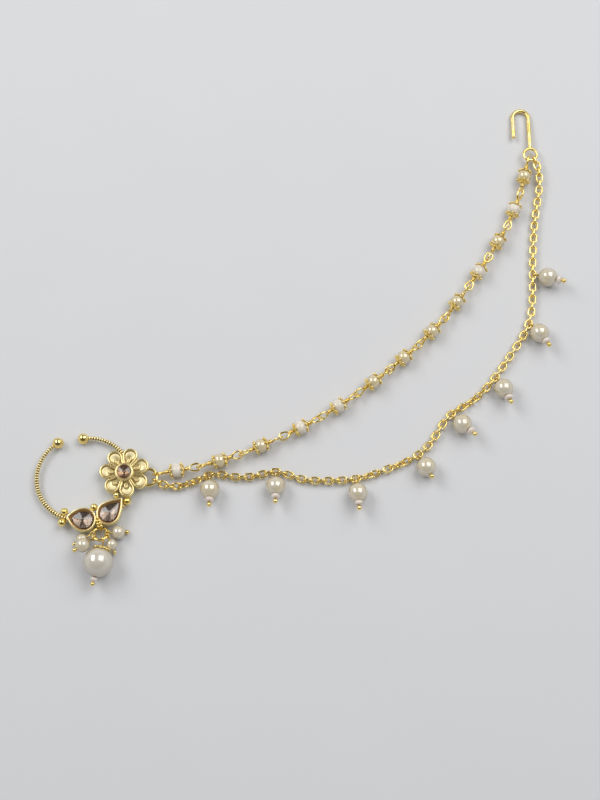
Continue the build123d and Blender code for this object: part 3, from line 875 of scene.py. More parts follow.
def antique_gold():
    """Matt cast gold of the petals, polished smoother on rims and ridges and painted paler there as
    a painted highlight, with painted shade in recesses.
    """
    metal = settings().metal

    def surface(tree, polish, plate, rough):
        # painted highlight on the crests, which are also made smoother; painted shade in the
        # recesses
        bright = tree.spread(polish, 0.5, 1.0, 0.0, 1.0)
        dark = tree.spread(polish, 0.0, 0.3, 1.0, 0.0)
        plate = tree.blend(bright, tree.blend(dark, plate, metal.shade), metal.pale_gold)
        return plate, rough - bright * 0.20

    return metal_finish(
        "Antique gold", metal.antique_gold, tinted(metal.antique_gold, 1.15), 0.46, spread=0.25,
        relief=0.02, patches=1500.0, marks=14000.0, surface=surface,
    )


def cloudy_finish(name, tone, second, clouds, skin_scale, relief, values, edge=None):
    """Cloudy tones under a shader's values, painted darker towards the edge as a painted dark
    reflection if a tone is given for it.
    """
    if name in bpy.data.materials:
        return bpy.data.materials[name]
    material, tree, shader = new_material(name)
    coat = tree.add("ShaderNodeGroup", {
        "Tone": tone, "Second tone": second, "Cloud scale": clouds, "Skin scale": skin_scale,
    }, node_tree=nacre())
    body, height = (Term(tree, output) for output in coat.outputs)
    # painted dark reflection: the body is painted towards the edge tone where the surface turns
    # away from the view
    if edge:
        facing = tree.term("ShaderNodeLayerWeight", "Facing", {"Blend": 0.35})
        body = tree.blend(tree.spread(facing, 0.10, 0.95, 0.0, 0.9), body, edge)
    tree.feed(shader, {"Base Color": body, **values})
    if relief:
        bumped(tree, shader, height, relief * MM)
    return material


def pearl_finish(name, tone, second, roughness):
    """A pearl coat under a clear glossy one, painted darker towards its edge as a painted dark
    reflection.
    """
    return cloudy_finish(name, tone, second, 450.0, 6000.0, 0.008, {
        "Roughness": roughness, "IOR": 1.9, "Coat Weight": 1.0, "Coat Roughness": 0.05,
        "Coat IOR": 2.1,
    }, settings().pearls.edge)


def white_pearl():
    """The large pearl's coat."""
    pearls = settings().pearls
    return pearl_finish("White pearl", pearls.white, tinted(pearls.white, 0.94), 0.30)


def cream_pearl():
    """The coat of the drops' and the cluster's pearls."""
    pearls = settings().pearls
    return pearl_finish("Cream pearl", pearls.cream, pearls.white, 0.26)


def strand_pearl():
    """The coat of the strand's beads."""
    pearls = settings().pearls
    return pearl_finish("Strand pearl", pearls.strand, pearls.cream, 0.24)


def milky_finish(name, tone):
    """Milky glass, cloudy and soft under a thin gloss."""
    return cloudy_finish(name, tone, settings().pearls.white, 900.0, 6000.0, 0.01, {
        "Roughness": 0.2, "Subsurface Weight": 0.3, "Subsurface Scale": 1.0,
        "Subsurface Radius": (0.6 * MM, 0.5 * MM, 0.5 * MM),
        "Coat Weight": 0.5, "Coat Roughness": 0.08,
    })


def milky_glass():
    """The strand's milky beads."""
    return milky_finish("Milky glass", settings().pearls.milky)


def spacer_glass():
    """The small pinkish spacer beads."""
    return milky_finish("Spacer glass", settings().pearls.spacer)


def stone_glass():
    """The stones' clear tinted body."""
    glass = settings().stones.glass
    return cloudy_finish("Stone glass", glass, tinted(glass, 1.12), 250.0, 2000.0, 0, {
        "Roughness": 0.02, "Transmission Weight": 1.0, "IOR": 1.75,
    })


def foil_finish(name, tone):
    """A mirror coat on a stone's back."""
    return metal_finish(name, tone, tinted(tone, 1.1), 0.24, 0.05, 0.0003, 0.8)


def stone_foil():
    """The mirror coat of the pear stones."""
    return foil_finish("Stone foil", settings().stones.foil)


def round_foil():
    """The browner mirror coat of the round stone."""
    return foil_finish("Round foil", settings().stones.round_foil)


# ---- the soldered ring ---------------------------------------------------------------

def arc_point(ring, degrees, level):
    """A point of one of the hoop's arcs and the direction of rising angle there."""
    turn = math.radians(degrees)
    out = Vector((math.cos(turn), math.sin(turn), 0))
    return spot(ring["x"], ring["y"]) + out * ring["radius"] * MM + UP * level, UP.cross(out)


def hoop_line(level):
    """The hoop's centre line from ball to ball: two arcs and the stretch that joins them."""
    def sweep(ring, first, last):
        steps = 60
        angles = [first + (last - first) * step / steps for step in range(steps + 1)]
        return [arc_point(ring, degrees, level) for degrees in angles]

    left = sweep(LEFT_ARC, LEFT_ARC["ball"], LEFT_ARC["seat"])
    right = sweep(RIGHT_ARC, RIGHT_ARC["seat"], RIGHT_ARC["ball"])
    start, start_run = left[-1]
    end, end_run = right[0]
    reach = (end - start).length
    bridge = []
    for step in range(1, 40):
        share = step / 40
        bridge.append(
            start * (2 * share ** 3 - 3 * share ** 2 + 1)
            + start_run * reach * (share ** 3 - 2 * share ** 2 + share)
            + end * (3 * share ** 2 - 2 * share ** 3)
            + end_run * reach * (share ** 3 - share ** 2)
        )
    return [place for place, _ in left] + bridge + [place for place, _ in right]


class NATH_OT_hoop(bpy.types.Operator):
    """Makes the wound hoop and its ball ends"""
    bl_idname = "nath.hoop"
    bl_label = "Wound hoop"

    def execute(self, context):
        hoop = settings().hoop
        line = hoop_line(hoop.level)
        path = bpy.data.meshes.new("hoop_path")
        path.from_pydata(
            [tuple(place) for place in line], [(k, k + 1) for k in range(len(line) - 1)], [],
        )

        tree = Grower("Wound wire")
        middle, end, rib, groove, bulge, flatness = tree.sizes(
            hoop, "middle", "end", "rib", "groove", "bulge", "flatness",
        )
        curve = tree.add("GeometryNodeMeshToCurve", {"Mesh": tree.start})
        pieces = {"Curve": curve, "Length": rib / RIB_POINTS}
        fine = tree.add("GeometryNodeResampleCurve", pieces, mode="LENGTH")
        along = tree.add("GeometryNodeSplineParameter")
        factor, run = (Term(tree, along.outputs[label]) for label in ("Factor", "Length"))
        half = (end + (middle - end) * tree.reckon("SINE", factor * math.pi)) * 0.5
        across = tree.spread(tree.reckon("FRACT", run / rib), 0.0, 1.0, bulge * -1.0, bulge)
        arch = tree.reckon("MAXIMUM", 1.0 - across * across, 0.0)
        round_rib = tree.reckon("SQRT", arch)
        # the crest value, 1 on a rib's top and 0 in the groove, is kept for the material to paint
        # shade into the grooves
        marked = tree.add("GeometryNodeStoreNamedAttribute", {
            "Geometry": fine, "Name": "polish", "Value": round_rib,
        }, data_type="FLOAT", domain="POINT")
        sunk = groove * (1.0 - round_rib)
        winding = tree.tube(marked, 2.0, 18, half - sunk, tree.vector(1.0, flatness, 1.0))
        tree.piece("hoop_wire", path, winding, ribbed_gold(), "gold_ring", "nose_ring")

        ends = united("hoop_balls", [ball(hoop.ball, line[0]), ball(hoop.ball, line[-1])])
        ready(ends, "gold_ring", [gold()], "nose_ring")
        return {"FINISHED"}


def lobe_ring(lobe_x, lobe_radius, root_x, root_radius, level):
    """A closed outline round a large and a small circle on the X axis."""
    touch = math.degrees(math.acos((root_radius - lobe_radius) / (lobe_x - root_x)))
    lobe = arc(lobe_radius, -touch, touch, 26, lobe_x)
    root = arc(root_radius, touch, 360 - touch, 8, root_x)

    def between(first, last):
        return [
            (first[0] + (last[0] - first[0]) * share, first[1] + (last[1] - first[1]) * share)
            for share in (0.2, 0.4, 0.6, 0.8)
        ]

    outline = lobe + between(lobe[-1], root[0]) + root + between(root[-1], lobe[0])
    return [Vector((x, y, level)) for x, y in outline]


def petal_mesh():
    """One petal along +X: a round rim, a hollow floor and a raised drop with a dimple."""
    flower = settings().flower
    lobe_x = flower.reach - flower.width / 2
    lobe, root = flower.width / 2, flower.root_width / 2
    rim, floor, ridge = flower.rim, flower.floor, flower.ridge
    rings = []
    polish = []

    # each ring's inset in millimetres, its level and the lift above it, and its crest value: near 1
    # smoother and painted paler as a painted highlight, near 0 painted dark as painted shade
    outer = (
        (0.00, flower.back, 0, 0.6), (0.00, rim, -0.20, 0.9), (0.05, rim, -0.08, 1.0),
        (0.14, rim, -0.01, 1.0), (0.24, rim, 0, 1.0), (0.33, rim, -0.03, 1.0),
        (0.40, rim, -0.12, 0.8), (0.44, rim, -0.25, 0.20), (0.48, floor, 0.06, 0.02),
        (0.60, floor, 0.03, 0.05), (0.68, floor, 0.08, 0.36), (0.84, floor, 0.11, 0.45),
    )
    for inset, level, lift, crest in outer:
        rings.append(lobe_ring(
            lobe_x, lobe - inset * MM, flower.root_reach, max(root - inset * MM, 0.05 * MM),
            level + lift * MM,
        ))
        polish.append(crest)
    raised = PETAL_DROP
    # the raised drop's rings in the same columns; their crest values paint the ridge paler and the
    # groove round it dark, as painted highlight and shade
    drop = (
        (-0.34, floor, 0.05, 0.42), (-0.20, floor, -0.01, 0.28), (-0.08, floor, -0.04, 0.03),
        (-0.01, floor, 0.03, 0.10), (0.05, ridge, -0.08, 0.8), (0.13, ridge, 0, 0.95),
        (0.22, ridge, -0.04, 0.8), (0.30, floor, 0.10, 0.30), (0.40, floor, 0.02, 0.12),
        (0.48, floor, 0.03, 0.30),
    )
    for inset, level, lift, crest in drop:
        rings.append(lobe_ring(
            lobe_x - raised["tip_in"] * MM, (raised["tip"] - inset) * MM,
            flower.root_reach + raised["root_out"] * MM,
            (raised["root"] - inset * raised["root_share"]) * MM, level + lift * MM,
        ))
        polish.append(crest)
    return skin(rings, polish=polish)


class NATH_OT_flower(bpy.types.Operator):
    """Makes the flower's petals and the cup of its middle stone"""
    bl_idname = "nath.flower"
    bl_label = "Flower"

    def execute(self, context):
        flower = settings().flower
        tree = Grower("Ring of petals")
        count = tree.size("Petals", flower.petals, "NodeSocketInt")
        first = tree.size("First petal", flower.first)
        centre = tree.size("Centre", tuple(spot(FLOWER["x"], FLOWER["y"])), "NodeSocketVector")
        points = tree.add(
            "GeometryNodeMeshLine", {"Count": count, "Start Location": centre, "Offset": (0, 0, 0)},
        )
        index = tree.term("GeometryNodeInputIndex", 0)
        heading = tree.vector(z=first + index * (2 * math.pi / count))
        rotation = tree.add("FunctionNodeEulerToRotation", {0: heading})
        petals = tree.copies(points, tree.start, rotation)
        tree.piece("flower_petals", petal_mesh(), petals, antique_gold(), "gold_ring", "nose_ring")

        # height from the rim and inset from the side, in millimetres
        rim = [
            (0.34, 0), (0.20, 0.05), (0.14, 0.13), (0.18, 0.20), (0.20, 0.23), (0.06, 0.27),
            (0, 0.34),
        ]
        radius, bore = flower.cup / 2, flower.cup_bore / 2
        top, seat = flower.cup_top, flower.cup_seat
        profile = [(flower.back, 0), (flower.back, radius)]
        profile += [(top - drop * MM, radius - inset * MM) for drop, inset in rim]
        profile += [
            (top, bore + 0.08 * MM), (top - 0.05 * MM, bore), (seat + 0.02 * MM, bore - 0.10 * MM),
            (seat, bore - 0.2 * MM), (seat, 0),
        ]
        bands = [0] * 9 + [1] * 4
        cup = as_piece("flower_cup", turned(profile, spot(FLOWER["x"], FLOWER["y"]), UP, 48, bands))
        ready(cup, "gold_ring", [rim_gold(), copper()], "nose_ring")
        return {"FINISHED"}


def pear_outline(radius, reach, shoulder, steps):
    """A pear about the origin: a round end and two curved sides to a tip on +X."""
    start = (radius * math.cos(shoulder), radius * math.sin(shoulder))
    chord = math.atan2(-start[1], reach - start[0])
    run = shoulder - math.pi / 2
    span = math.hypot(reach - start[0], start[1])
    bend = chord - run
    side_radius = span / 2 / math.sin(abs(bend))
    side = []
    for step in range(1, steps):
        share = step / steps
        sweep = 2 * bend * share
        distance = 2 * side_radius * math.sin(abs(sweep) / 2)
        heading = run + sweep / 2
        across, up = distance * math.cos(heading), distance * math.sin(heading)
        side.append((start[0] + across, start[1] + up))
    lower = [(x, -y) for x, y in side]
    round_end = arc(radius, math.degrees(shoulder), 360 - math.degrees(shoulder), steps * 2)
    return [(reach, 0.0)] + side[::-1] + round_end + lower


def pear_frame(pear):
    """The turn and place of a pear setting."""
    turn = Matrix.Rotation(math.radians(pear["heading"]), 4, "Z")
    return Matrix.Translation(spot(pear["x"], pear["y"])) @ turn


def pear_ring(pear, inset, level):
    """A pear outline drawn in by an inset, at a level."""
    shoulder = settings().pears.shoulder
    start = (math.cos(shoulder) * pear["radius"], math.sin(shoulder) * pear["radius"])
    chord = math.atan2(start[1], pear["reach"] - start[0])
    tip = 2 * chord - (math.pi / 2 - shoulder)
    outline = pear_outline(
        pear["radius"] * MM - inset, pear["reach"] * MM - inset / math.sin(tip), shoulder,
        SETTING_STEPS,
    )
    place = pear_frame(pear)
    return [place @ Vector((x, y, level)) for x, y in outline]


class NATH_OT_settings(bpy.types.Operator):
    """Makes the pear settings, the granules beside them, the side ring and the bail"""
    bl_idname = "nath.settings"
    bl_label = "Pear settings"

    def execute(self, context):
        pears = settings().pears
        wall = pears.wall
        slope = (pears.top - pears.seat) * math.tan(pears.slope)
        for pear in PEARS:
            # inset, height, and the finish of the strip that ends there: 0 rim, 1 bright wall
            levels = [
                (0.04 * MM, pears.back, 0), (0.0, pears.back + 0.05 * MM, 0),
                (0.0, pears.top - 0.16 * MM, 0),
                (0.04 * MM, pears.top - 0.05 * MM, 0), (0.12 * MM, pears.top, 0),
                (wall - 0.14 * MM, pears.top, 0), (wall - 0.04 * MM, pears.top - 0.05 * MM, 1),
                (wall, pears.top - 0.16 * MM, 1), (wall + slope * 0.55, pears.seat + 0.42 * MM, 1),
                (wall + slope * 0.62, pears.seat + 0.36 * MM, 1), (wall + slope, pears.seat, 1),
            ]
            rings = [pear_ring(pear, inset, level) for inset, level, _ in levels]
            bands = [mark for _, _, mark in levels[1:]]
            mesh = skin(rings, bands)
            foiled_floor = mesh.polygons[-1]
            foiled_floor.material_index = 2
            setting = as_piece(pear["node"].replace("stone", "setting"), mesh)
            ready(setting, "gold_ring", [rim_gold(), copper(), stone_foil()], "nose_ring")

        tree = Grower("Granules")
        grain = tree.grain(1.0, tree.size("Fineness", 3, "NodeSocketInt"))
        grains = tree.copies(tree.start, grain, scale=tree.attribute("width"))
        base = points_mesh(
            "granule_points", [spot(g["x"], g["y"], g["z"]) for g in GRANULES],
            width=[[g["diameter"] * MM] * 3 for g in GRANULES],
        )
        tree.piece("granules", base, grains, gold(), "gold_ring", "nose_ring")

        rings = united("side_ring_and_bail", [
            torus(
                ring["diameter"] * MM, ring["wire"] * MM, spot(ring["x"], ring["y"], ring["z"]),
                axis,
            )
            for ring, axis in ((SIDE_RING, UP), (BAIL, Vector((1, 0, 0))))
        ])
        ready(rings, "gold_ring", [gold()], "nose_ring")
        return {"FINISHED"}


# ---- stones --------------------------------------------------------------------------

def cut_stone(name, outline, middle, place, crown, base):
    """A rose-cut stone: two rows of facets up to a blunt point, over a flat mirror-coated back."""
    table = settings().stones.table

    def row(points, share, level):
        return [
            (middle[0] + (x - middle[0]) * share, middle[1] + (y - middle[1]) * share, level)
            for x, y in points
        ]

    count = len(outline)
    work = bmesh.new()

    def corners(points):
        return [work.verts.new(place @ Vector(point)) for point in points]

    keel = corners(row(outline, STONE_BACK, -base))
    low = corners(row(outline, 1.0, -GIRDLE * MM))
    girdle = corners(row(outline, 1.0, GIRDLE * MM))
    belt = corners(row(outline[::2], table, crown * STONE_BELT))
    point = work.verts.new(place @ Vector((middle[0], middle[1], crown)))
    coated = [work.faces.new(keel[::-1])]
    for step in range(count):
        after = (step + 1) % count
        coated.append(work.faces.new((keel[step], keel[after], low[after], low[step])))
        work.faces.new((low[step], low[after], girdle[after], girdle[step]))
    for group in range(len(belt)):
        after = (group + 1) % len(belt)
        here, mid, beyond = 2 * group, 2 * group + 1, (2 * group + 2) % count
        work.faces.new((girdle[here], girdle[mid], belt[group]))
        work.faces.new((girdle[mid], belt[after], belt[group]))
        work.faces.new((girdle[mid], girdle[beyond], belt[after]))
        work.faces.new((belt[group], belt[after], point))
    bmesh.ops.recalc_face_normals(work, faces=work.faces)
    for face in coated:
        face.material_index = 1
    mesh = bpy.data.meshes.new(name)
    work.to_mesh(mesh)
    work.free()
    return as_piece(name, mesh, smooth=False)


class NATH_OT_stones(bpy.types.Operator):
    """Makes the round stone and the two pear stones"""
    bl_idname = "nath.stones"
    bl_label = "Stones"

    def execute(self, context):
        stones = settings().stones
        pears = settings().pears
        flower = settings().flower
        outline = arc(
            stones.round_size / 2, 0, 360 - 360 / ROUND_FACETS, ROUND_FACETS - 1,
        )
        level = flower.cup_seat + stones.gap + stones.base
        place = Matrix.Translation(spot(FLOWER["x"], FLOWER["y"]) + UP * level)
        stone = cut_stone(
            "round_stone", outline, (0, 0), place, stones.round_crown, stones.base,
        )
        ready(stone, "stone", [stone_glass(), round_foil()], "stone_centre")

        inset = pears.wall + (pears.top - pears.seat) * math.tan(pears.slope) + stones.gap / 2
        level = pears.seat + stones.gap + stones.base
        for pear in PEARS:
            outline = pear_outline(
                pear["radius"] * MM - inset, pear["reach"] * MM - TIP_INSET * inset,
                pears.shoulder, PEAR_STEPS,
            )
            place = pear_frame(pear) @ Matrix.Translation(UP * level)
            middle = (pear["reach"] * MM * POINT_SHIFT, 0)
            stone = cut_stone(
                pear["node"] + "_cut", outline, middle, place, stones.pear_crown, stones.base,
            )
            ready(stone, "stone", [stone_glass(), stone_foil()], pear["node"])
        return {"FINISHED"}


# ---- pins and pearls -----------------------------------------------------------------

def hung_pin(hang, run, pearl, beyond):
    """The vectors of a pin: its eye's middle and run, its shank's root and reach to the ball."""
    pearls = settings().pearls
    eye_radius = (pearls.eye - pearls.pin) / 2
    fall = pearl - hang
    root = (fall - run * fall.dot(run)).normalized() * eye_radius
    axis = (fall - root).normalized()
    reach = axis * ((fall - root).length + beyond)
    return {"hang": hang, "run": run, "root": root, "reach": reach, "axis": axis}


def head_pins(name, pins, ball_size, node):
    """Head pins: an eye round a wire, a shank through a pearl and a ball end."""
    tree = Grower("Head pins")
    wire, eye = tree.sizes(settings().pearls, "pin", "eye")
    ball_end = tree.size("Ball", ball_size)
    run, root, reach = (tree.attribute(label) for label in ("run", "root", "reach"))
    eyes = tree.copies(tree.start, tree.oval(eye, eye, wire, 24, 8), tree.axes("Z", run, "X", root))
    rod = tree.term(
        "GeometryNodeMeshCylinder", "Mesh", {"Vertices": 10, "Radius": wire * 0.5, "Depth": 1.0},
    )
    length_of = tree.term("ShaderNodeVectorMath", "Value", {0: reach}, operation="LENGTH")
    roots = tree.shifted(tree.start, root)
    rods = tree.copies(
        roots, tree.moved(rod, (0, 0, 0.5)), tree.axes("Z", reach, "X", run),
        tree.vector(1.0, 1.0, length_of),
    )
    knob = tree.add(
        "GeometryNodeMeshUVSphere", {"Segments": 20, "Rings": 12, "Radius": ball_end * 0.5},
    )
    knobs = tree.copies(tree.shifted(roots, reach), knob)
    base = points_mesh(
        name + "_points", [pin["hang"] for pin in pins],
        **{label: [pin[label] for pin in pins] for label in ("run", "root", "reach")},
    )
    tree.piece(name, base, tree.join(eyes, rods, knobs), gold(), "gold", node)


def pearl_piece(name, node, axis, finish, slot, bore):
    """A drilled pearl in the place of its solid."""
    diameter = max(size_of(node))
    mesh = drilled_ball(diameter, bore, middle_of(node), axis)
    return ready(as_piece(name, mesh), slot, [finish], node)


def bead_caps(name, node, ball_size, places, directions, reach, lobe, granule, lobes, dome):
    """Bead caps: a dome, a ring of open lobes and a granule at each lobe's tip."""
    radius = ball_size / 2 + CAP_ROOM * MM
    edge = reach * CAP_EDGE
    profile = arc(radius, CAP_HOLE, edge, 7) + arc(radius + dome, edge, CAP_HOLE, 7)
    shell = bpy.data.objects.new(name + "_dome", turned(
        profile, Vector((0, 0, 0)), Vector((1, 0, 0)), 32, closed=True,
    ))
    bpy.context.scene.collection.objects.link(shell)

    tree = Grower("Bead caps")
    count = tree.size("Lobes", lobes, "NodeSocketInt")
    ball_radius = tree.size("Ball radius", radius)
    lobe_angle = tree.size("Lobe angle", math.radians(edge))
    tip_angle = tree.size("Tip angle", math.radians(reach * CAP_TIP))
    lobe_length = tree.size("Lobe length", lobe)
    grain_size = tree.size("Granule", granule)
    dome_piece = tree.size("Dome", shell, "NodeSocketObject")
    turn = tree.term("GeometryNodeInputIndex", 0) * (2 * math.pi / count)

    def on_ball(shape, down, lift):
        """A shape put round the ball, at an angle down from its pole and lifted off it."""
        away, fall = tree.reckon("SINE", down), tree.reckon("COSINE", down)
        y, z = tree.reckon("COSINE", turn), tree.reckon("SINE", turn)
        radial = tree.vector(fall, y * away, z * away)
        meridian = tree.vector(away * -1.0, y * fall, z * fall)
        place = tree.term(
            "ShaderNodeVectorMath", "Vector", {"Vector": radial, "Scale": ball_radius + lift},
            operation="SCALE",
        )
        line = tree.add("GeometryNodeMeshLine", {"Count": count, "Offset": (0, 0, 0)})
        ring = tree.add("GeometryNodeSetPosition", {"Geometry": line, "Position": place})
        return tree.copies(ring, shape, tree.axes("Z", radial, "X", meridian))

    loop = tree.oval(lobe_length, lobe_length, dome * LOBE_WIRE, 14, 6)
    shell_shape = tree.term("GeometryNodeObjectInfo", "Geometry", {"Object": dome_piece})
    whole = tree.add("GeometryNodeRealizeInstances", {"Geometry": tree.join(
        shell_shape, on_ball(loop, lobe_angle, dome * LOBE_LIFT),
        on_ball(tree.grain(grain_size, 2), tip_angle, granule * GRANULE_LIFT),
    )})
    base = points_mesh(
        name + "_points", places, along=directions,
        facing=[square_to(direction)[0] for direction in directions],
    )
    tree.piece(name, base, tree.copies(tree.start, whole, tree.lay()), gold(), "gold", node)
    bpy.data.objects.remove(shell)


class NATH_OT_cluster(bpy.types.Operator):
    """Makes the pearl cluster: its jump ring, pins, pearls, cap and seed bead"""
    bl_idname = "nath.cluster"
    bl_label = "Pearl cluster"

    def execute(self, context):
        pearls = settings().pearls
        centre, axes = surface_axes(loose_solids("cluster_ring")[0])
        across = Vector((1, 0, 0))
        normal = axes[2] if axes[2].z > 0 else -axes[2]
        down = normal.cross(across).normalized()
        wire = JUMP_RING["wire"] * MM
        diameter = size_of("cluster_ring").x + JUMP_RING["extra"] * MM
        ring = as_piece("cluster_jump_ring", torus(diameter, wire, centre, normal))
        ready(ring, "gold", [gold()], "cluster_ring")

        pins = []
        for name, degrees in CLUSTER_ANGLES.items():
            node = f"cluster_pearl_{name}"
            turn = math.radians(degrees)
            out = across * math.cos(turn) + down * math.sin(turn)
            hang = centre + out * (diameter - wire) / 2
            run = down * math.cos(turn) - across * math.sin(turn)
            pearl = middle_of(node)
            large = name == "large"
            room = (SEED["room"] * large + PIN_PLAY) * MM + pearls.cluster_ball / 2
            pin = hung_pin(hang, run, pearl, max(size_of(node)) / 2 + room)
            pins.append(pin)
            finish = white_pearl() if large else cream_pearl()
            pearl_piece(f"pearl_{name}", node, pin["axis"], finish, "pearl_white", pearls.bore)
        head_pins("cluster_head_pins", pins, pearls.cluster_ball, "cluster_pins")

        axis = pins[-1]["axis"]
        seed = rounded_disc(SEED, pearls.bore, middle_of("cluster_seed"), axis)
        ready(as_piece("cluster_seed_bead", seed), "seed_bead", [spacer_glass()], "cluster_seed")
        cap = CLUSTER_CAP
        bead_caps(
            "cluster_flower_cap", "cluster_cap", max(size_of("cluster_pearl_large")),
            [middle_of("cluster_pearl_large")], [-axis], cap["reach"], cap["lobe"] * MM,
            cap["granule"] * MM, cap["lobes"], cap["dome"] * MM,
        )
        return {"FINISHED"}


# ---- strand --------------------------------------------------------------------------

class NATH_OT_strand(bpy.types.Operator):
    """Makes the strand: beads, granulated caps, and wires with wrapped loops"""
    bl_idname = "nath.strand"
    bl_label = "Beaded strand"

    def execute(self, context):
        strand = settings().strand
        centres, outward, facing = [], [], []
        for solid in loose_solids("strand_wires"):
            centre, axes = surface_axes(solid)
            axis = axes[0] if axes[0].x + axes[0].y > 0 else -axes[0]
            reach = (solid.mean(axis=1) - np.array(centre)) @ np.array(axis)
            for end in (-1, 1):
                loop = solid[reach * end > strand.collar_end * LOOP_START]
                centres.append(centre)
                outward.append(axis * end)
                facing.append(surface_axes(loop)[1][2])

        tree = Grower("Wrapped loops")
        wire, collar, collar_start, collar_end, wraps, span, width, centre = tree.sizes(
            strand, "wire", "collar", "collar_start", "collar_end", "wraps",
            "loop_length", "loop_width", "loop_centre",
        )
        loop = tree.moved(
            tree.oval(span, width, wire, 36, 10, strand.pinch), tree.vector(centre),
        )
        collar_length = collar_end - collar_start
        winding_wire = collar_length / wraps
        spiral_radius = (collar - winding_wire) * 0.5
        spiral = tree.add("GeometryNodeCurveSpiral", {
            "Resolution": 18, "Rotations": wraps, "Start Radius": spiral_radius,
            "End Radius": spiral_radius, "Height": collar_length,
        })
        along = tree.term("GeometryNodeSplineParameter", "Factor")
        to_end = tree.reckon("MINIMUM", along, 1.0 - along)
        taper = tree.spread(to_end, 0.0, WINDING["run"], WINDING["thin"], 1.0)
        winding = tree.moved(
            tree.tube(spiral, winding_wire * WINDING["wire"], 8, taper),
            tree.vector(collar_start), (0, math.pi / 2, 0),
        )
        line = tree.add("GeometryNodeCurvePrimitiveLine", {
            "Start": (0, 0, 0), "End": tree.vector(collar_end),
        })
        shape = tree.join(loop, winding, tree.tube(line, wire, 10))
        loops = tree.copies(tree.start, shape, tree.lay())
        base = points_mesh("strand_points", centres, along=outward, facing=facing)
        tree.piece("strand_loops", base, loops, gold(), "gold", "strand_wires")

        beads = sorted(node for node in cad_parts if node.startswith("strand_bead"))
        for node in beads:
            middle = middle_of(node)
            nearest = min(range(len(centres)), key=lambda k: (centres[k] - middle).length)
            name = node.replace("strand_bead", "pearl_bead")
            finish = milky_glass() if int(node[-2:]) in MILKY_BEADS else strand_pearl()
            pearl_piece(name, node, outward[nearest], finish, "bead_cream", BEAD_BORE * MM)
        bead_caps(
            "strand_bead_caps", "strand_caps", max(size_of(beads[0])), centres, outward,
            STRAND_CAP["reach"], STRAND_CAP["lobe"] * MM, strand.granule, strand.lobes, strand.cap,
        )
        return {"FINISHED"}


# ---- chain, drops and hook -----------------------------------------------------------

class NATH_OT_chain(bpy.types.Operator):
    """Makes the links of the cable chain"""
    bl_idname = "nath.chain"
    bl_label = "Cable chain"

    def execute(self, context):
        links = chain_links()
        tree = Grower("Cable chain")
        link = tree.oval(
            *tree.sizes(settings().chain, "link_length", "link_width", "wire"), 32, 10,
        )
        cable = tree.copies(tree.start, link, tree.lay())
        base = points_mesh(
            "link_points", [centre for centre, _ in links],
            along=[axes[0] for _, axes in links], facing=[axes[2] for _, axes in links],
        )
        tree.piece("cable_links", base, cable, gold(), "gold", "chain_links")
        return {"FINISHED"}


class NATH_OT_drops(bpy.types.Operator):
    """Makes the pearl drops that hang on the chain"""
    bl_idname = "nath.drops"
    bl_label = "Pearl drops"

    def execute(self, context):
        pearls = settings().pearls
        chain = settings().chain
        links = chain_links()
        spacers = [surface_axes(solid) for solid in loose_solids("drop_spacers")]
        pins = []
        discs = []
        for number, link in enumerate(DROP_LINKS, start=1):
            node = f"drop_pearl_{number}"
            pearl = middle_of(node)
            centre, axes = links[link]
            run = axes[0]
            side = (chain.link_width - chain.wire) / 2
            hang = centre
            # the eye moves round the link's wire until it faces the pearl
            for _ in range(6):
                heading = pearl - hang
                heading.z = 0
                heading.normalize()
                hang = centre + (heading - run * heading.dot(run)).normalized() * side
            disc = min(spacers, key=lambda spacer: (spacer[0] - pearl).length)
            spaced = (disc[0] - pearl).length < SPACER_NEAR * MM
            room = (SPACER["room"] * spaced + PIN_PLAY) * MM + pearls.drop_ball / 2
            pin = hung_pin(hang, run, pearl, max(size_of(node)) / 2 + room)
            pins.append(pin)
            finish = cream_pearl()
            pearl_piece(f"drop_{number}", node, pin["axis"], finish, "pearl_cream", pearls.bore)
            if spaced:
                discs.append(rounded_disc(SPACER, pearls.bore, disc[0], pin["axis"]))
        head_pins("drop_head_pins", pins, pearls.drop_ball, "drop_pins")
        ready(united("drop_spacer_beads", discs), "seed_bead", [spacer_glass()], "drop_spacers")
        return {"FINISHED"}


class NATH_OT_hook(bpy.types.Operator):
    """Finishes the hair hook"""
    bl_idname = "nath.hook"
    bl_label = "Hair hook"

    def execute(self, context):
        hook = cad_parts["hair_hook"]
        hook.data.materials.clear()
        hook.data.materials.append(gold())
        return {"FINISHED"}


# ---- stage ---------------------------------------------------------------------------

def softbox(name, place, target, width, height, power):
    """An area lamp that faces a target."""
    lamp = bpy.data.lights.new(name, "AREA")
    lamp.shape = "RECTANGLE"
    lamp.size, lamp.size_y = width, height
    lamp.energy = power
    holder = bpy.data.objects.new(name, lamp)
    holder.location = place
    back = (Vector(place) - Vector(target)).normalized()
    across = (Vector((1, 0, 0)) - back * back.x).normalized()
    holder.rotation_euler = Matrix((across, back.cross(across), back)).transposed().to_euler()
    bpy.context.scene.collection.objects.link(holder)


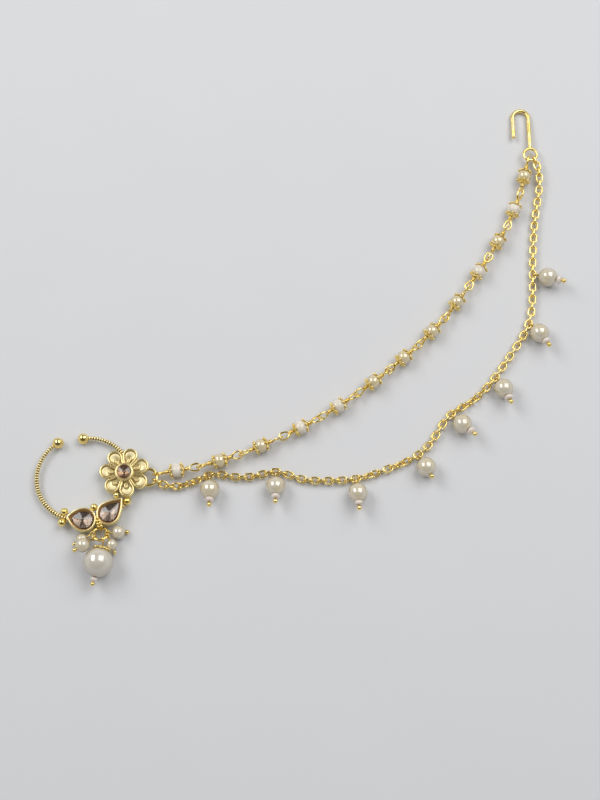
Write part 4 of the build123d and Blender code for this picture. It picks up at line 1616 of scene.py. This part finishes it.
def pale_room(ambient, floor):
    """A world that lights softly, mirrors pale near the horizon, and looks like the far floor."""
    world = bpy.data.worlds.new("Pale room")
    world.use_nodes = True
    world.node_tree.nodes.clear()
    tree = Tree(world.node_tree)

    def background(tone, strength=1.0):
        return tree.add("ShaderNodeBackground", {"Color": tone, "Strength": strength})

    def either(share_of_second, first, second):
        return tree.add("ShaderNodeMixShader", {0: share_of_second, 1: first, 2: second})

    generated = tree.term("ShaderNodeTexCoord", "Generated")
    height = tree.term("ShaderNodeSeparateXYZ", "Z", {0: generated})
    mirror = tree.blend(
        tree.spread(height, 0.0, 0.6, 0.0, 1.0), (0.86, 0.87, 0.89), (0.10, 0.095, 0.09),
    )
    path = tree.add("ShaderNodeLightPath").outputs
    bounced = tree.reckon("MAXIMUM", path["Is Glossy Ray"], path["Is Transmission Ray"])
    unseen = either(bounced, background((1, 1, 1), ambient), background(mirror))
    whole = either(path["Is Camera Ray"], unseen, background(tinted(floor, ambient)))
    tree.add("ShaderNodeOutputWorld", {"Surface": whole})
    bpy.context.scene.world = world


class NATH_OT_stage(bpy.types.Operator):
    """Makes the pale floor, the soft light and the camera"""
    bl_idname = "nath.stage"
    bl_label = "Stage"

    def execute(self, context):
        stage = settings().stage
        target = Vector((stage.look_x, stage.look_y, 0))

        lens = bpy.data.cameras.new("Camera")
        lens.lens = stage.lens
        lens.clip_start = 0.01
        lens.clip_end = 20
        camera = bpy.data.objects.new("Camera", lens)
        back = Vector((0, -math.sin(stage.tilt), math.cos(stage.tilt)))
        camera.location = target + back * stage.distance
        camera.rotation_euler = (stage.tilt, 0, 0)
        bpy.context.scene.collection.objects.link(camera)
        bpy.context.scene.camera = camera

        half = FLOOR_HALF
        mesh = bpy.data.meshes.new("floor")
        corners = [(-half, -half, 0), (half, -half, 0), (half, half, 0), (-half, half, 0)]
        mesh.from_pydata(corners, [], [(0, 1, 2, 3)])
        floor = bpy.data.objects.new("floor", mesh)
        bpy.context.scene.collection.objects.link(floor)
        material, tree, shader = new_material("Pale floor")
        grain = object_noise(tree, 40.0, 3.0)
        tone = tree.blend(
            tree.spread(grain, 0.3, 0.7, 0.0, 1.0), stage.floor, tinted(stage.floor, 1.01),
        )
        tree.feed(shader, {"Base Color": tone, "Roughness": 0.9, "Specular IOR Level": 0.1})
        mesh.materials.append(material)

        middle = Vector((0, 0, 0))
        for name, (place, width, height, strength) in SOFTBOXES.items():
            softbox(name, place, middle, width, height, stage.softbox * strength)
        pale_room(stage.ambient, stage.floor)
        bpy.context.scene.view_settings.view_transform = "Standard"
        return {"FINISHED"}


OPERATORS = (
    NATH_OT_hoop, NATH_OT_flower, NATH_OT_settings, NATH_OT_stones, NATH_OT_cluster,
    NATH_OT_strand, NATH_OT_chain, NATH_OT_drops, NATH_OT_hook, NATH_OT_stage,
)


class NATH_PT_panel(bpy.types.Panel):
    """The nath's buttons and settings"""
    bl_idname = "NATH_PT_panel"
    bl_label = "Nath"
    bl_space_type = "VIEW_3D"
    bl_region_type = "UI"
    bl_category = "Nath"

    def draw(self, context):
        layout = self.layout
        for operator in OPERATORS:
            layout.operator(operator.bl_idname)
        for group in NathSettings.__annotations__:
            values = getattr(context.scene.nath, group)
            box = layout.box()
            box.label(text=group.capitalize())
            for value in values.__annotations__:
                box.prop(values, value)


CLASSES = (
    NathMetal, NathHoop, NathFlower, NathPears, NathStones, NathPearls, NathStrand, NathChain,
    NathStage, NathSettings, *OPERATORS, NATH_PT_panel,
)


def register():
    for item in CLASSES:
        bpy.utils.register_class(item)
    bpy.types.Scene.nath = PointerProperty(type=NathSettings)


def unregister():
    del bpy.types.Scene.nath
    for item in reversed(CLASSES):
        bpy.utils.unregister_class(item)


def main():
    register()
    bpy.ops.nath.hoop()
    bpy.ops.nath.flower()
    bpy.ops.nath.settings()
    bpy.ops.nath.stones()
    bpy.ops.nath.cluster()
    bpy.ops.nath.strand()
    bpy.ops.nath.chain()
    bpy.ops.nath.drops()
    bpy.ops.nath.hook()
    bpy.ops.nath.stage()


if __name__ == "__main__":
    main()
